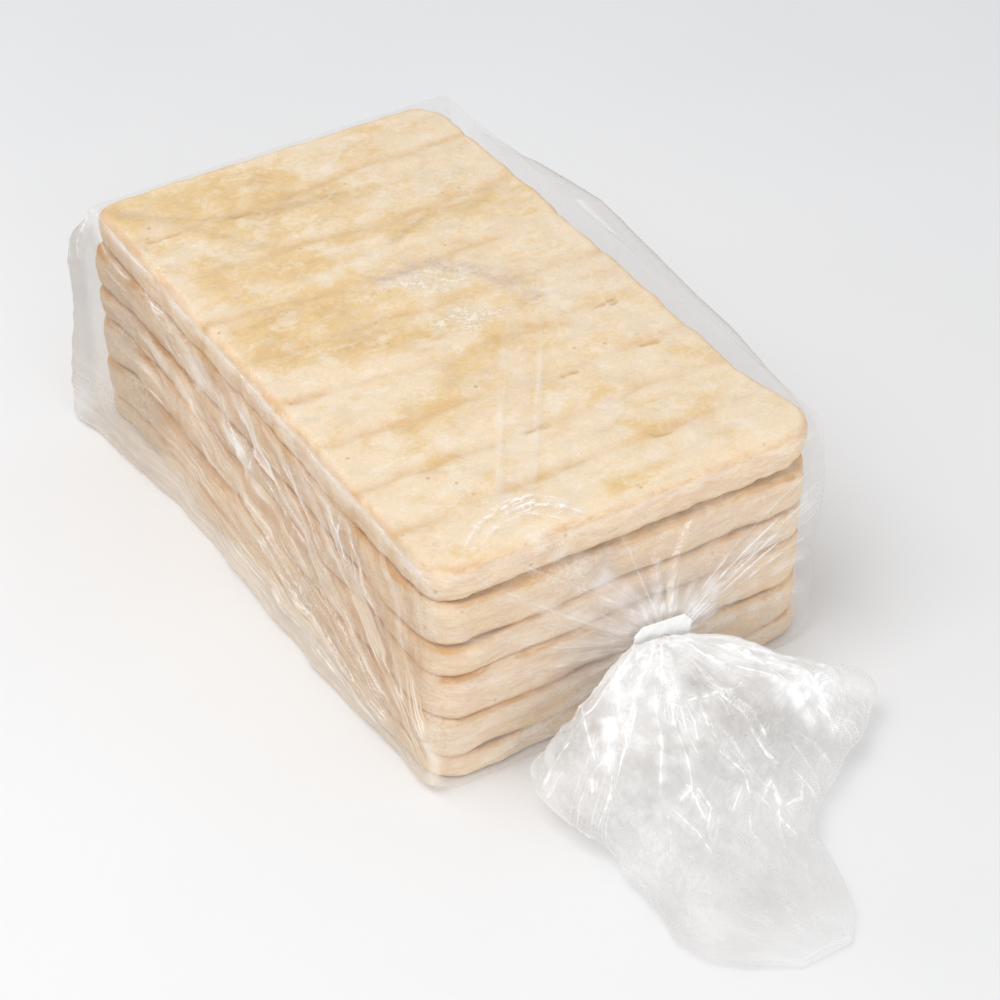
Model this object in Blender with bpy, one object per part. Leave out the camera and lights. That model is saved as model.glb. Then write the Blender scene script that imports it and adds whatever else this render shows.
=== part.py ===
"""A clear bag of six breadstick sheets, gathered at its mouth and closed with a flat clip.

Each sheet is nine breadsticks baked side by side and still joined. The bag is shut, so it is
one solid of its outer form: the stacked sheets where the film clings to them, the film's
tents where it stands off, the gathered neck, and the loose tail past the clip.
The pack rests on the bottom sheet, centred on the origin; +Y runs from the clip to the far end.
"""

import math
import random

import bmesh
import bpy
from mathutils import Matrix, Vector

# ---- driving dimensions, in metres -------------------------------------------------------

SHEET_WIDTH = 0.184  # a breadstick's length, across the pack
FINGER_WIDTHS = (  # the nine breadsticks of a sheet, clip end first
    0.0335, 0.0275, 0.0285, 0.0330, 0.0310, 0.0340, 0.0360, 0.0400, 0.0375,
)
SHEET_LENGTH = sum(FINGER_WIDTHS)
SHEET_THICKNESSES = (0.014, 0.021, 0.023, 0.016, 0.022, 0.015)  # bottom sheet first
STACK_HEIGHT = sum(SHEET_THICKNESSES)
FRONT = -SHEET_LENGTH / 2
SIDE = SHEET_WIDTH / 2

PLAN_CORNER = 0.017  # a sheet's corner radius seen from above
EDGE_ROUND = 0.42  # a sheet's edge radius as a share of its thickness
EDGE_FALLOFF = 8  # how fast the rounding dies out away from a sheet's edge
SEAM_DEPTH = 0.0017  # the groove between two breadsticks
SEAM_NOTCH = 0.0010  # how far a seam cuts into the long sides
SEAM_HALF_WIDTH = 0.006
WIDTH_SPREAD = 0.06  # how uneven the lower sheets' breadsticks are, as a share
SHEET_OVERLAP = 0.0006  # how deep each sheet sinks into the one below
SHEET_SHIFT = 0.0014  # the most that a lower sheet lies off the stack's middle
TOP_SHEET_OVERHANG = 0.0008  # how far at least the top sheet overhangs the rest, at the clip end

# Where a sheet's box is cut, so that its edges can be rounded.
END_CUT = 0.005  # in from the short ends
SIDE_CUTS = (0.006, PLAN_CORNER, 0.050)  # in from the long sides
LEVEL_CUTS = (0.2, 0.5, 0.8)  # as shares of the thickness

CORE_INSET = 0.007  # the filling behind the gaps between sheets

NECK_CENTRE = (0.002, 0.050)  # x and z of the gathered neck
NECK_RADIUS = 0.0042
NECK_START = -0.1660  # y where the film is fully gathered
NECK_LENGTH = 0.0040
RING_POINTS = 36
FLOOR_GAP = 0.0012  # the film's lowest stretch over the table

# The film drawn in from the stack's clip end to the neck.
MOUTH_START = 0.012  # the loft starts this far inside the stack
MOUTH_STAND_OFF = 0.0015  # the taut film in front of the sheets
MOUTH_INSET = (0.009, 0.007)  # its edge, in from the stack's sides, and from its top and bottom
MOUTH_SQUARENESS = 0.86
GATHER_STATIONS = (  # share of the way to the neck, how far gathered, squareness, pleat depth
    (0.16, 0.22, 0.70, 0.03),
    (0.38, 0.48, 0.50, 0.07),
    (0.64, 0.72, 0.25, 0.12),
    (0.86, 0.89, 0.05, 0.14),
)
PLEATS = 9

# Right tent: the loose film beside the stack, held out along one long fold near the top.
TENT_FOLD_DROP = 0.012  # the fold's height under the top of the stack
TENT_FOLD = (  # y, how far the fold stands off the stack's side; clip end first
    (-0.141, 0.0050),
    (-0.126, 0.0085),
    (-0.090, 0.0115),
    (-0.040, 0.0150),
    (0.008, 0.0180),
    (0.049, 0.0220),
    (0.092, 0.0130),
    (0.128, 0.0020),
)
TENT_FOOT_SHARE = 0.25  # how far the film stands off at the table, as a share of the fold
TENT_START = 0.008  # in from the stack's clip end
TENT_END = 0.020  # in from its far end
TENT_TOP_DROP = 0.005  # the film's line along the stack, under its top

# Ear: the bag's corner, an upright fin off the stack's far left corner.
EAR_REACH = 0.017
EAR_LEAN = 0.008  # its upper end leans in by this
EAR_TOP_Z = 0.100
EAR_STAND_OFF = 0.003  # behind the stack's far end
EAR_LENGTHS = (0.085, 0.050)  # along the stack's side, at the table and at the top

CLIP_WIDTH = 0.027
CLIP_HEIGHT = 0.022
CLIP_THICKNESS = 0.0010
CLIP_CORNER = 0.0035
CLIP_HOLE_RADIUS = NECK_RADIUS + 0.0004
CLIP_SLOT = 0.0052
CLIP_MOUTH = 0.0022  # how much the slot widens to each side at its mouth
CLIP_MOUTH_DEPTH = 0.0026
CLIP_HOLE_STEPS = 28
CLIP_TURN = math.radians(6)  # the clip sits a little askew on the neck

FILM_COLOUR = (0.90, 0.80, 0.62, 1.0)
CLIP_COLOUR = (0.92, 0.92, 0.91, 1.0)

# The tail past the clip: y, middle x, half width, lowest z, highest z.
TAIL_STATIONS = (
    (-0.1735, 0.000, 0.021, 0.034, 0.055),
    (-0.1785, -0.001, 0.050, 0.011, 0.054),
    (-0.1850, 0.001, 0.064, 0.003, 0.050),
    (-0.1940, 0.007, 0.071, 0.001, 0.046),
    (-0.2040, 0.010, 0.073, 0.001, 0.042),
    (-0.2140, 0.008, 0.067, 0.001, 0.038),
    (-0.2250, 0.001, 0.056, 0.001, 0.033),
    (-0.2370, -0.010, 0.044, 0.001, 0.028),
    (-0.2500, -0.018, 0.037, 0.001, 0.024),
    (-0.2640, -0.020, 0.037, 0.001, 0.020),
    (-0.2780, -0.020, 0.034, 0.001, 0.016),
    (-0.2900, -0.015, 0.025, 0.001, 0.012),
    (-0.3000, -0.011, 0.012, 0.002, 0.008),
)
TAIL_CRUMPLE = 0.11  # how far the tail's outline wanders, as a share of its size
TAIL_FOLDS = (5, 9)  # broad and fine folds round the tail
TAIL_SKIRT = 0.22  # the height of the tail's side folds, as a share of its whole height
TAIL_LEAN = 0.0018  # how far a fold stands out of its own ring


# ---- shared helpers ----------------------------------------------------------------------


def clear_scene():
    for found in list(bpy.data.objects):
        bpy.data.objects.remove(found)


def new_collection(name):
    made = bpy.data.collections.new(name)
    bpy.context.scene.collection.children.link(made)
    return made


def plain_material(name, colour, roughness):
    made = bpy.data.materials.new(name)
    made.use_nodes = True
    shader = made.node_tree.nodes["Principled BSDF"]
    shader.inputs["Base Color"].default_value = colour
    shader.inputs["Roughness"].default_value = roughness
    shader.inputs["Metallic"].default_value = 0.0
    return made


def object_from(work, name, collection):
    """Turns a closed bmesh, its faces pointing out, into a named object, and frees it."""
    bmesh.ops.recalc_face_normals(work, faces=work.faces)
    if work.calc_volume(signed=True) < 0:
        bmesh.ops.reverse_faces(work, faces=work.faces)
    mesh = bpy.data.meshes.new(name)
    work.to_mesh(mesh)
    work.free()
    made = bpy.data.objects.new(name, mesh)
    collection.objects.link(made)
    return made


def box_bmesh(low, high):
    """A plain box between two corners."""
    work = bmesh.new()
    bmesh.ops.create_cube(work, size=1.0)
    low, high = Vector(low), Vector(high)
    size = high - low
    place = Matrix.Translation((low + high) / 2) @ Matrix.Diagonal((*size, 1.0))
    bmesh.ops.transform(work, matrix=place, verts=work.verts)
    return work


def cut_across(work, normal, places):
    """Cuts the whole mesh with one plane at each place along the normal."""
    for place in places:
        everything = [*work.verts, *work.edges, *work.faces]
        bmesh.ops.bisect_plane(
            work, geom=everything, plane_co=Vector(normal) * place, plane_no=normal
        )


# ---- the sheets of breadsticks -----------------------------------------------------------


def finger_seams(widths):
    """The y of every seam between breadsticks, with both ends of the sheet."""
    seams = [-sum(widths) / 2]
    for width in widths:
        seams.append(seams[-1] + width)
    return seams


def seam_share(y, seams):
    """1 in a seam between two breadsticks, falling to 0 at its half width and beyond."""
    distance = min(abs(y - seam) for seam in seams[1:-1])
    return max(0.0, 1.0 - distance / SEAM_HALF_WIDTH) ** 1.3


def rounded_inset(share_up):
    """How far a sheet's edge draws in, in edge radii, at a share of its thickness."""
    past_straight = (abs(share_up - 0.5) - (0.5 - EDGE_ROUND)) / EDGE_ROUND
    return 1.0 - math.sqrt(max(0.0, 1.0 - max(0.0, past_straight) ** 2))


def pulled_round_corner(x, y, half_width, half_length):
    """Maps a square corner of the plan onto a round one."""
    over_x = abs(x) - (half_width - PLAN_CORNER)
    over_y = abs(y) - (half_length - PLAN_CORNER)
    if over_x <= 0 or over_y <= 0:
        return x, y
    pull = max(over_x, over_y) / math.hypot(over_x, over_y)
    new_x = half_width - PLAN_CORNER + over_x * pull
    new_y = half_length - PLAN_CORNER + over_y * pull
    return math.copysign(new_x, x), math.copysign(new_y, y)


def cut_places(seams, half_width, half_length, thickness):
    """The planes that cut a sheet's box: along it, across it, and level."""
    along = [seam + side * SEAM_HALF_WIDTH / 2 for seam in seams[1:-1] for side in (-1, 0, 1)]
    along += [(start + end) / 2 for start, end in zip(seams, seams[1:])]
    along += [end * (half_length - END_CUT) for end in (-1, 1)]
    across = [0.0] + [side * (half_width - cut) for cut in SIDE_CUTS for side in (-1, 1)]
    levels = [thickness * share for share in LEVEL_CUTS]
    return along, across, levels


def sheet_bmesh(thickness, widths, has_top_seams):
    """One sheet: a box cut at its seams and edges, then rounded and grooved point by point."""
    seams = finger_seams(widths)
    half_width, half_length = SHEET_WIDTH / 2, sum(widths) / 2
    work = box_bmesh((-half_width, -half_length, 0), (half_width, half_length, thickness))
    along, across, levels = cut_places(seams, half_width, half_length, thickness)
    cut_across(work, (0, 1, 0), along)
    cut_across(work, (1, 0, 0), across)
    cut_across(work, (0, 0, 1), levels)
    for point in work.verts:
        seam = seam_share(point.co.y, seams)
        inset = EDGE_ROUND * thickness * rounded_inset(point.co.z / thickness)
        side_share = (abs(point.co.x) / half_width) ** EDGE_FALLOFF
        end_share = (abs(point.co.y) / half_length) ** EDGE_FALLOFF
        is_top = point.co.z > thickness * 0.99
        x, y = pulled_round_corner(point.co.x, point.co.y, half_width, half_length)
        point.co.x = x * (1.0 - (inset + SEAM_NOTCH * seam) / half_width * side_share)
        point.co.y = y * (1.0 - inset / half_length * end_share)
        if is_top and has_top_seams:
            point.co.z -= SEAM_DEPTH * seam
    return work


def uneven(widths, shuffle):
    """The same breadsticks with each a little wider or narrower, over the same length."""
    changed = [width * (1 + shuffle.uniform(-WIDTH_SPREAD, WIDTH_SPREAD)) for width in widths]
    scale = sum(widths) / sum(changed)
    return [width * scale for width in changed]


def add_sheets(collection):
    """The six sheets, each sunk a hair into the one below so that they fuse."""
    shuffle = random.Random(7)
    floor = 0.0
    last = len(SHEET_THICKNESSES) - 1
    for index, thickness in enumerate(SHEET_THICKNESSES):
        is_top = index == last
        widths = FINGER_WIDTHS if is_top else uneven(FINGER_WIDTHS, shuffle)
        sunk = SHEET_OVERLAP if index else 0.0
        sheet = sheet_bmesh(thickness + sunk, widths, is_top)
        drift_x = 0.0 if is_top else shuffle.uniform(-SHEET_SHIFT, SHEET_SHIFT)
        drift_y = 0.0 if is_top else TOP_SHEET_OVERHANG + shuffle.uniform(0, SHEET_SHIFT)
        place = Matrix.Translation((drift_x, drift_y, floor - sunk))
        bmesh.ops.transform(sheet, matrix=place, verts=sheet.verts)
        object_from(sheet, f"sheet_{index + 1}", collection)
        floor += thickness


# ---- the film where it stands off the stack ----------------------------------------------


def hull_object(points, name, collection):
    """Taut film over a few points: their convex hull."""
    work = bmesh.new()
    for point in points:
        work.verts.new(point)
    hull = bmesh.ops.convex_hull(work, input=work.verts)
    unused = [item for item in hull["geom_interior"] if isinstance(item, bmesh.types.BMVert)]
    bmesh.ops.delete(work, geom=unused, context="VERTS")
    return object_from(work, name, collection)


def add_right_tent(collection):
    """The loose film on the right, taut from the stack's corners out to the long fold."""
    inner = SIDE - 2 * CORE_INSET
    edge = SIDE - CORE_INSET / 2
    near, far = FRONT + TENT_START, -FRONT - TENT_END
    fold_z = STACK_HEIGHT - TENT_FOLD_DROP
    top_z = STACK_HEIGHT - TENT_TOP_DROP
    points = [(x, y, top_z) for x in (inner, edge) for y in (near, far)]
    points += [(inner, y, 2 * FLOOR_GAP) for y in (near, far)]
    for y, reach in TENT_FOLD:
        points.append((SIDE + reach, y, fold_z))
        points.append((SIDE + reach * TENT_FOOT_SHARE, y, FLOOR_GAP))
    hull_object(points, "right_tent", collection)


def add_corner_ear(collection):
    """The bag's own corner: a thin upright fin that spreads along the stack's side."""
    tip = -SIDE - EAR_REACH
    back = -FRONT + EAR_STAND_OFF
    behind = back - 0.8 * EAR_STAND_OFF
    edge = -SIDE + CORE_INSET / 2
    inner = -SIDE + 2 * CORE_INSET
    points = [
        (tip, back, FLOOR_GAP),
        (tip + EAR_LEAN, behind, EAR_TOP_Z - EAR_STAND_OFF),
        (tip + 1.4 * EAR_LEAN, back, EAR_TOP_Z),
        (inner, behind, 2 * FLOOR_GAP),
        (inner, behind, EAR_TOP_Z + EAR_STAND_OFF),
    ]
    heights = (2 * FLOOR_GAP, EAR_TOP_Z - EAR_STAND_OFF)
    for z, length in zip(heights, EAR_LENGTHS):
        points.append((edge, back - length, z))
        points.append((inner, back - length, z))
    hull_object(points, "corner_ear", collection)


# ---- the gathered mouth and its tail -----------------------------------------------------


def rounded_square(angle, squareness):
    """A point on a curve between a circle, at 0, and a square, at 1."""
    c, s = math.cos(angle), math.sin(angle)
    stretch = 1.0 / max(abs(c), abs(s))
    share = 1.0 + (stretch - 1.0) * squareness
    return c * share, s * share


def gather_stations():
    """Each ring of the gathered film: its y, how far gathered, squareness and pleat depth."""
    face = FRONT - MOUTH_STAND_OFF
    stations = [(y, 0.0, MOUTH_SQUARENESS, 0.0) for y in (FRONT + MOUTH_START, face)]
    for share, *shape in GATHER_STATIONS:
        stations.append((face + (NECK_START - face) * share, *shape))
    stations += [(y, 1.0, 0.0, 0.0) for y in (NECK_START, NECK_START - NECK_LENGTH)]
    return stations


def gather_rings():
    """The film drawn in from the stack's front face to the neck, in shallow pleats."""
    middle = (0.0, STACK_HEIGHT / 2)
    mouth = (SIDE - MOUTH_INSET[0], STACK_HEIGHT / 2 - MOUTH_INSET[1])
    rings = []
    for y, gathered, squareness, depth in gather_stations():
        centre = [m + (n - m) * gathered for m, n in zip(middle, NECK_CENTRE)]
        reach = [m + (NECK_RADIUS - m) * gathered for m in mouth]
        ring = []
        for step in range(RING_POINTS):
            angle = 2 * math.pi * step / RING_POINTS
            across, up = rounded_square(angle, squareness)
            pleat = 1.0 - depth * (0.5 + 0.5 * math.cos(PLEATS * angle))
            x = centre[0] + reach[0] * across * pleat
            z = centre[1] + reach[1] * up * pleat
            ring.append((x, y, max(FLOOR_GAP, z)))
        rings.append(ring)
    return rings


def tail_height_share(up):
    """A tail point's share of the height: low folds at the sides, the middle domed over them."""
    if up > 0:
        return TAIL_SKIRT + (1.0 - TAIL_SKIRT) * up
    return TAIL_SKIRT * (1.0 + up)


def tail_rings():
    """The loose film past the clip: a low crumpled fan that spreads down to the table."""
    shuffle = random.Random(23)
    broad, fine = TAIL_FOLDS
    rings = []
    drift = [0.0, 0.0]
    for y, centre_x, half_width, low, high in TAIL_STATIONS:
        drift = [value + shuffle.uniform(-0.5, 0.5) for value in drift]
        ring = []
        for step in range(RING_POINTS):
            angle = 2 * math.pi * step / RING_POINTS
            wave = math.sin(broad * angle + drift[0]) + math.sin(fine * angle + drift[1])
            fold = 1.0 + TAIL_CRUMPLE * (0.5 * wave + 0.4 * shuffle.uniform(-1, 1))
            x = centre_x + half_width * math.cos(angle) * fold
            z = low + (high - low) * tail_height_share(math.sin(angle)) * fold
            lean = TAIL_LEAN * math.sin(3 * angle + drift[1])
            ring.append((x, y + lean, max(FLOOR_GAP, z)))
        rings.append(ring)
    return rings


def add_gathered_mouth(collection):
    """One loft from inside the stack's front, through the neck, to the tail's closed end."""
    rings = gather_rings() + tail_rings()
    work = bmesh.new()
    loops = [[work.verts.new(point) for point in ring] for ring in rings]
    for loop, following in zip(loops, loops[1:]):
        for step in range(RING_POINTS):
            ahead = (step + 1) % RING_POINTS
            work.faces.new((loop[step], loop[ahead], following[ahead], following[step]))
    for loop in (loops[0], loops[-1]):
        middle = sum((point.co for point in loop), Vector()) / RING_POINTS
        tip = work.verts.new(middle)
        for step in range(RING_POINTS):
            work.faces.new((loop[step], loop[(step + 1) % RING_POINTS], tip))
    bmesh.ops.triangulate(work, faces=work.faces)
    object_from(work, "gathered_mouth", collection)


# ---- the two pieces ----------------------------------------------------------------------


def build_bag(collection):
    """The shut bag: a core behind the sheets' gaps, fused with the sheets and the film."""
    helpers = new_collection("bag_forms")
    add_sheets(helpers)
    add_right_tent(helpers)
    add_corner_ear(helpers)
    add_gathered_mouth(helpers)
    low = (-SIDE + CORE_INSET, FRONT + CORE_INSET, SHEET_THICKNESSES[0] / 2)
    high = (SIDE - CORE_INSET, -FRONT - CORE_INSET, STACK_HEIGHT - SHEET_THICKNESSES[-1] / 2)
    bag = object_from(box_bmesh(low, high), "bag", collection)
    union = bag.modifiers.new("fuse", "BOOLEAN")
    union.operation = "UNION"
    union.operand_type = "COLLECTION"
    union.collection = helpers
    union.solver = "MANIFOLD"
    graph = bpy.context.evaluated_depsgraph_get()
    fused = bpy.data.meshes.new_from_object(bag.evaluated_get(graph))
    bag.modifiers.clear()
    bag.data = fused
    for helper in list(helpers.objects):
        bpy.data.objects.remove(helper)
    bpy.data.collections.remove(helpers)
    bag.data.materials.clear()
    bag.data.materials.append(plain_material("bagged_bread", FILM_COLOUR, 0.35))
    bag.data.set_sharp_from_angle(angle=math.radians(50))


def clip_outline():
    """The clip's flat outline: a plate with cut corners and a slot that opens into a round hole."""
    half_width, half_height = CLIP_WIDTH / 2, CLIP_HEIGHT / 2
    cut = CLIP_CORNER
    half_slot = CLIP_SLOT / 2
    half_mouth = half_slot + CLIP_MOUTH
    mouth_top = -half_height + CLIP_MOUTH_DEPTH
    outline = [
        (half_mouth, -half_height),
        (half_width - cut, -half_height),
        (half_width, -half_height + cut),
        (half_width, half_height - cut),
        (half_width - cut, half_height),
        (-half_width + cut, half_height),
        (-half_width, half_height - cut),
        (-half_width, -half_height + cut),
        (-half_width + cut, -half_height),
        (-half_mouth, -half_height),
        (-half_slot, mouth_top),
    ]
    start = math.asin(half_slot / CLIP_HOLE_RADIUS)
    turn = 2 * math.pi - 2 * start
    for step in range(CLIP_HOLE_STEPS + 1):  # round the hole, from one side of the slot to the other
        angle = -math.pi / 2 - start - turn * step / CLIP_HOLE_STEPS
        outline.append((CLIP_HOLE_RADIUS * math.cos(angle), CLIP_HOLE_RADIUS * math.sin(angle)))
    outline.append((half_slot, mouth_top))
    return outline


def build_clip(collection):
    """The flat closure on the neck, square to it, its slot pointing down."""
    outline = clip_outline()
    drawing = bpy.data.curves.new("clip", "CURVE")
    drawing.dimensions = "2D"
    drawing.fill_mode = "BOTH"
    drawing.extrude = CLIP_THICKNESS / 2
    spline = drawing.splines.new("POLY")
    spline.points.add(len(outline) - 1)
    for point, (x, y) in zip(spline.points, outline):
        point.co = (x, y, 0.0, 1.0)
    spline.use_cyclic_u = True
    clip = bpy.data.objects.new("clip", drawing)
    collection.objects.link(clip)
    clip.location = (NECK_CENTRE[0], NECK_START - NECK_LENGTH / 2, NECK_CENTRE[1])
    clip.rotation_euler = (math.pi / 2, CLIP_TURN, 0.0)
    drawing.materials.append(plain_material("clip_plastic", CLIP_COLOUR, 0.4))


def main():
    clear_scene()
    pack = new_collection("breadstick_pack")
    build_bag(pack)
    build_clip(pack)


main()
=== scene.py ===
"""Finish of a clear bag of breadstick sheets: the bread, the film round it and the studio.

The pack lies on its bottom sheet. +X runs across it along the breadsticks, +Y from the clip to
the far end and +Z up. Sizes are in metres unless a name ends in _MM.
"""

import logging
import math
from dataclasses import dataclass, field
from enum import Enum, IntEnum
from functools import reduce

import bpy
import numpy as np
from mathutils import Matrix, Vector


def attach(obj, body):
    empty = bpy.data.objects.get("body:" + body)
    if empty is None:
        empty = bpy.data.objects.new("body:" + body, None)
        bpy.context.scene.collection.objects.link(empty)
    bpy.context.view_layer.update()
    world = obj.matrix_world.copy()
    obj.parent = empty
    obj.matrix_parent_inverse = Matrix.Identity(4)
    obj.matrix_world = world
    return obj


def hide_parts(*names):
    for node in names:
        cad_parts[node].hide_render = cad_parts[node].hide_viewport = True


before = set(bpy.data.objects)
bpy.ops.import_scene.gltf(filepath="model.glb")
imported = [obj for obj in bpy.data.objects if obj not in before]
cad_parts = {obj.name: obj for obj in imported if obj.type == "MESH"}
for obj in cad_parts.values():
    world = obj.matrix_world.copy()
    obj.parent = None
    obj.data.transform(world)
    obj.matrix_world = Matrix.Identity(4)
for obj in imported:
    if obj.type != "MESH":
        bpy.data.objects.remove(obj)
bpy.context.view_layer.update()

LOG = logging.getLogger("breadstick_bag")

Array = np.ndarray
Marks = dict[str, np.ndarray]
Piece = bpy.types.Object
Socket = bpy.types.NodeSocket
Pair = tuple[float, float]
Triple = tuple[float, float, float]
Spot = tuple[float, float, float, float]

MM = 0.001
TAU = 2 * math.pi

# The stack, as the CAD model has it.
SHEET_WIDTH = 0.184
SHEET_LENGTH = 0.301
STACK_HEIGHT = 0.111
SIDE = SHEET_WIDTH / 2
FRONT = -SHEET_LENGTH / 2
PLAN_CORNER = 0.017
FINGER_WIDTHS = (0.0335, 0.0275, 0.0285, 0.0330, 0.0310, 0.0340, 0.0360, 0.0400, 0.0375)
SHEET_THICKNESSES = (0.0125, 0.0200, 0.0230, 0.0155, 0.0215, 0.0185)
TOP_NUMBER = len(SHEET_THICKNESSES) - 1

# The gathered neck, where the clip sits.
NECK_CENTRE = (0.002, 0.050)
NECK_RADIUS = 0.0042
NECK_START = -0.1660
NECK_LENGTH = 0.0040
NECK_PLACE = np.array([NECK_CENTRE[0], NECK_START, NECK_CENTRE[1]])


class Side(Enum):
    """A face of the stack that a fold in the film lies on."""

    TOP = "top"
    FRONT = "front"
    LEFT = "left"
    TAIL = "tail"


class Seed(IntEnum):
    """Where the random numbers of each kind of unevenness start."""

    MOUTH_PLEATS = 5
    TAIL_PLEATS = 9
    FOLD_LINE = 60
    BODY_FACETS = 71
    BODY_FINE = 72
    BODY_SLOW = 73
    TAIL_WIDE = 81
    TAIL_MIDDLE = 82
    TAIL_SMALL = 83
    TAIL_CALM = 84
    TAIL_FLOOR = 91
    TAIL_VEIL = 95
    TAIL_SHADE_GREY = 97
    CLING = 99
    JOINT = 500
    OPENING = 900
    OPENING_FINE = 940
    OPENING_RAGGED = 977


# ---------------------------------------------------------------- numbers


def sine_noise(points: Array, wavelength: float, seed: int, waves: int = 18) -> Array:
    """Gives soft noise of about -1 to 1: sine waves in random directions, added up.

    Args:
        points: places, one to a row of the last axis.
        wavelength: the waves' usual length.
        seed: starts the random numbers.
        waves: how many waves are added.

    Returns:
        One value for each place.
    """
    rng = np.random.default_rng(seed)
    directions = rng.normal(size=(waves, points.shape[-1]))
    directions /= np.linalg.norm(directions, axis=1, keepdims=True)
    numbers = TAU / (wavelength * rng.uniform(0.7, 1.7, waves))
    phases = rng.uniform(0, TAU, waves)
    total = np.zeros(points.shape[:-1])
    for direction, number, phase in zip(directions, numbers, phases):
        total += np.sin(points @ direction * number + phase)
    return total / math.sqrt(waves)


def facet_noise(points: Array, wavelength: float, seed: int, waves: int = 6) -> Array:
    """Gives noise of flat facets that meet in sharp folds, as in crumpled film.

    Each wave is a triangle wave in a random direction, bent a little by slow noise. The waves
    are added up, so every ridge of one crosses the ridges of the others.

    Args:
        points: places, one to a row of the last axis.
        wavelength: the waves' usual length.
        seed: starts the random numbers.
        waves: how many waves are added.

    Returns:
        One value of about -1 to 1 for each place.
    """
    rng = np.random.default_rng(seed)
    directions = rng.normal(size=(waves, points.shape[-1]))
    directions /= np.linalg.norm(directions, axis=1, keepdims=True)
    lengths = wavelength * rng.uniform(0.7, 1.6, waves)
    phases = rng.uniform(0, 1, waves)
    total = np.zeros(points.shape[:-1])
    for index, (direction, length, phase) in enumerate(zip(directions, lengths, phases)):
        bend = 0.35 * sine_noise(points, wavelength * 3.0, seed * 31 + index, 6)
        turns = points @ direction / length + phase + bend
        total += 4 * np.abs(turns % 1.0 - 0.5) - 1
    return total / math.sqrt(waves)


def ramp(low: float, high: float, values: Array) -> Array:
    """Goes smoothly from 0 at low to 1 at high: 3t squared less 2t cubed."""
    share = np.clip((values - low) / (high - low), 0, 1)
    return share * share * (3 - 2 * share)


def bell(away: Array, width: float, power: int = 2) -> Array:
    """Falls from 1 to 1/e at the width: e to the power of minus (away / width) to the power."""
    return np.exp(-((away / width) ** power))


def layered_noise(points: Array, layers: tuple[Pair, ...], seed: int) -> Array:
    """Adds up layers of soft noise, each a height and a wavelength, with seeds counted up."""
    return sum(high * sine_noise(points, wave, seed + k) for k, (high, wave) in enumerate(layers))


def line_distance(flat: Array, path: Array) -> tuple[Array, Array, Array]:
    """Measures how far each place is from a path of straight runs.

    Args:
        flat: places in a plane, shape (..., 2).
        path: the path's corners, shape (n, 2).

    Returns:
        The distance to the path, how far along it the nearest spot is, from 0 to 1, and the side
        of it that the place lies on, as -1 or 1.
    """
    nearest = np.full(flat.shape[:-1], np.inf)
    along = np.zeros(flat.shape[:-1])
    side = np.ones(flat.shape[:-1])
    runs = len(path) - 1
    for index in range(runs):
        run, lean = path[index + 1] - path[index], flat - path[index]
        share = np.clip((lean @ run) / (run @ run), 0, 1)
        gap = np.linalg.norm(lean - share[..., None] * run, axis=-1)
        turned = np.where(run[0] * lean[..., 1] - run[1] * lean[..., 0] < 0, -1.0, 1.0)
        closer = gap < nearest
        nearest = np.where(closer, gap, nearest)
        along = np.where(closer, (index + share) / runs, along)
        side = np.where(closer, turned, side)
    return nearest, along, side


# ---------------------------------------------------------------- meshes


def sheet_quads(rows: int, columns: int, closed: bool) -> Array:
    """Numbers the corners of the faces of a grid, row by row.

    Args:
        rows: points along the first way.
        columns: points along the second way.
        closed: whether the second way runs round and joins itself.

    Returns:
        Four point numbers for each face.
    """
    numbers = np.arange(rows * columns).reshape(rows, columns)
    if closed:
        numbers = np.concatenate([numbers, numbers[:, :1]], axis=1)
    corners = (numbers[:-1, :-1], numbers[:-1, 1:], numbers[1:, 1:], numbers[1:, :-1])
    return np.stack([c.ravel() for c in corners], axis=1)


def grid_normals(grid: Array) -> Array:
    """Works out a tube's normals: round the ring crossed with along the tube.

    Args:
        grid: the rings' points, shape (rings, around, 3).

    Returns:
        A unit normal for each point.
    """
    along = np.gradient(grid, axis=0)
    around = np.roll(grid, -1, axis=1) - np.roll(grid, 1, axis=1)
    normals = np.cross(around, along)
    return normals / np.maximum(np.linalg.norm(normals, axis=-1, keepdims=True), 1e-12)


def make_piece(
    name: str,
    points: Array,
    faces: list[Array],
    marks: Marks,
    normals: Array | None = None,
) -> Piece:
    """Makes a smooth mesh object at the origin from whole arrays.

    Args:
        name: the piece's name.
        points: the points, shape (n, 3).
        faces: arrays of point numbers, each with faces of one size.
        marks: values or places on the points, by name, for the material to read.
        normals: the points' own normals, where the mesh is one part of a larger surface.

    Returns:
        The new object, linked into the scene.
    """
    mesh = bpy.data.meshes.new(name)
    corners = np.concatenate([f.ravel() for f in faces]).astype(np.int32)
    sizes = np.concatenate([np.full(len(f), f.shape[1]) for f in faces])
    starts = np.concatenate([[0], np.cumsum(sizes)[:-1]]).astype(np.int32)
    mesh.vertices.add(len(points))
    mesh.vertices.foreach_set("co", points.astype(np.float32).ravel())
    mesh.loops.add(len(corners))
    mesh.loops.foreach_set("vertex_index", corners)
    mesh.polygons.add(len(sizes))
    mesh.polygons.foreach_set("loop_start", starts)
    mesh.update(calc_edges=True)
    mesh.validate()
    mesh.shade_smooth()
    for label, values in marks.items():
        is_place = values.ndim == 2
        mark = mesh.attributes.new(label, "FLOAT_VECTOR" if is_place else "FLOAT", "POINT")
        mark.data.foreach_set("vector" if is_place else "value", values.astype(np.float32).ravel())
    if normals is not None:
        mesh.normals_split_custom_set_from_vertices(normals.reshape(-1, 3).tolist())
    piece = bpy.data.objects.new(name, mesh)
    bpy.context.scene.collection.objects.link(piece)
    return piece


# ---------------------------------------------------------------- materials


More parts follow.
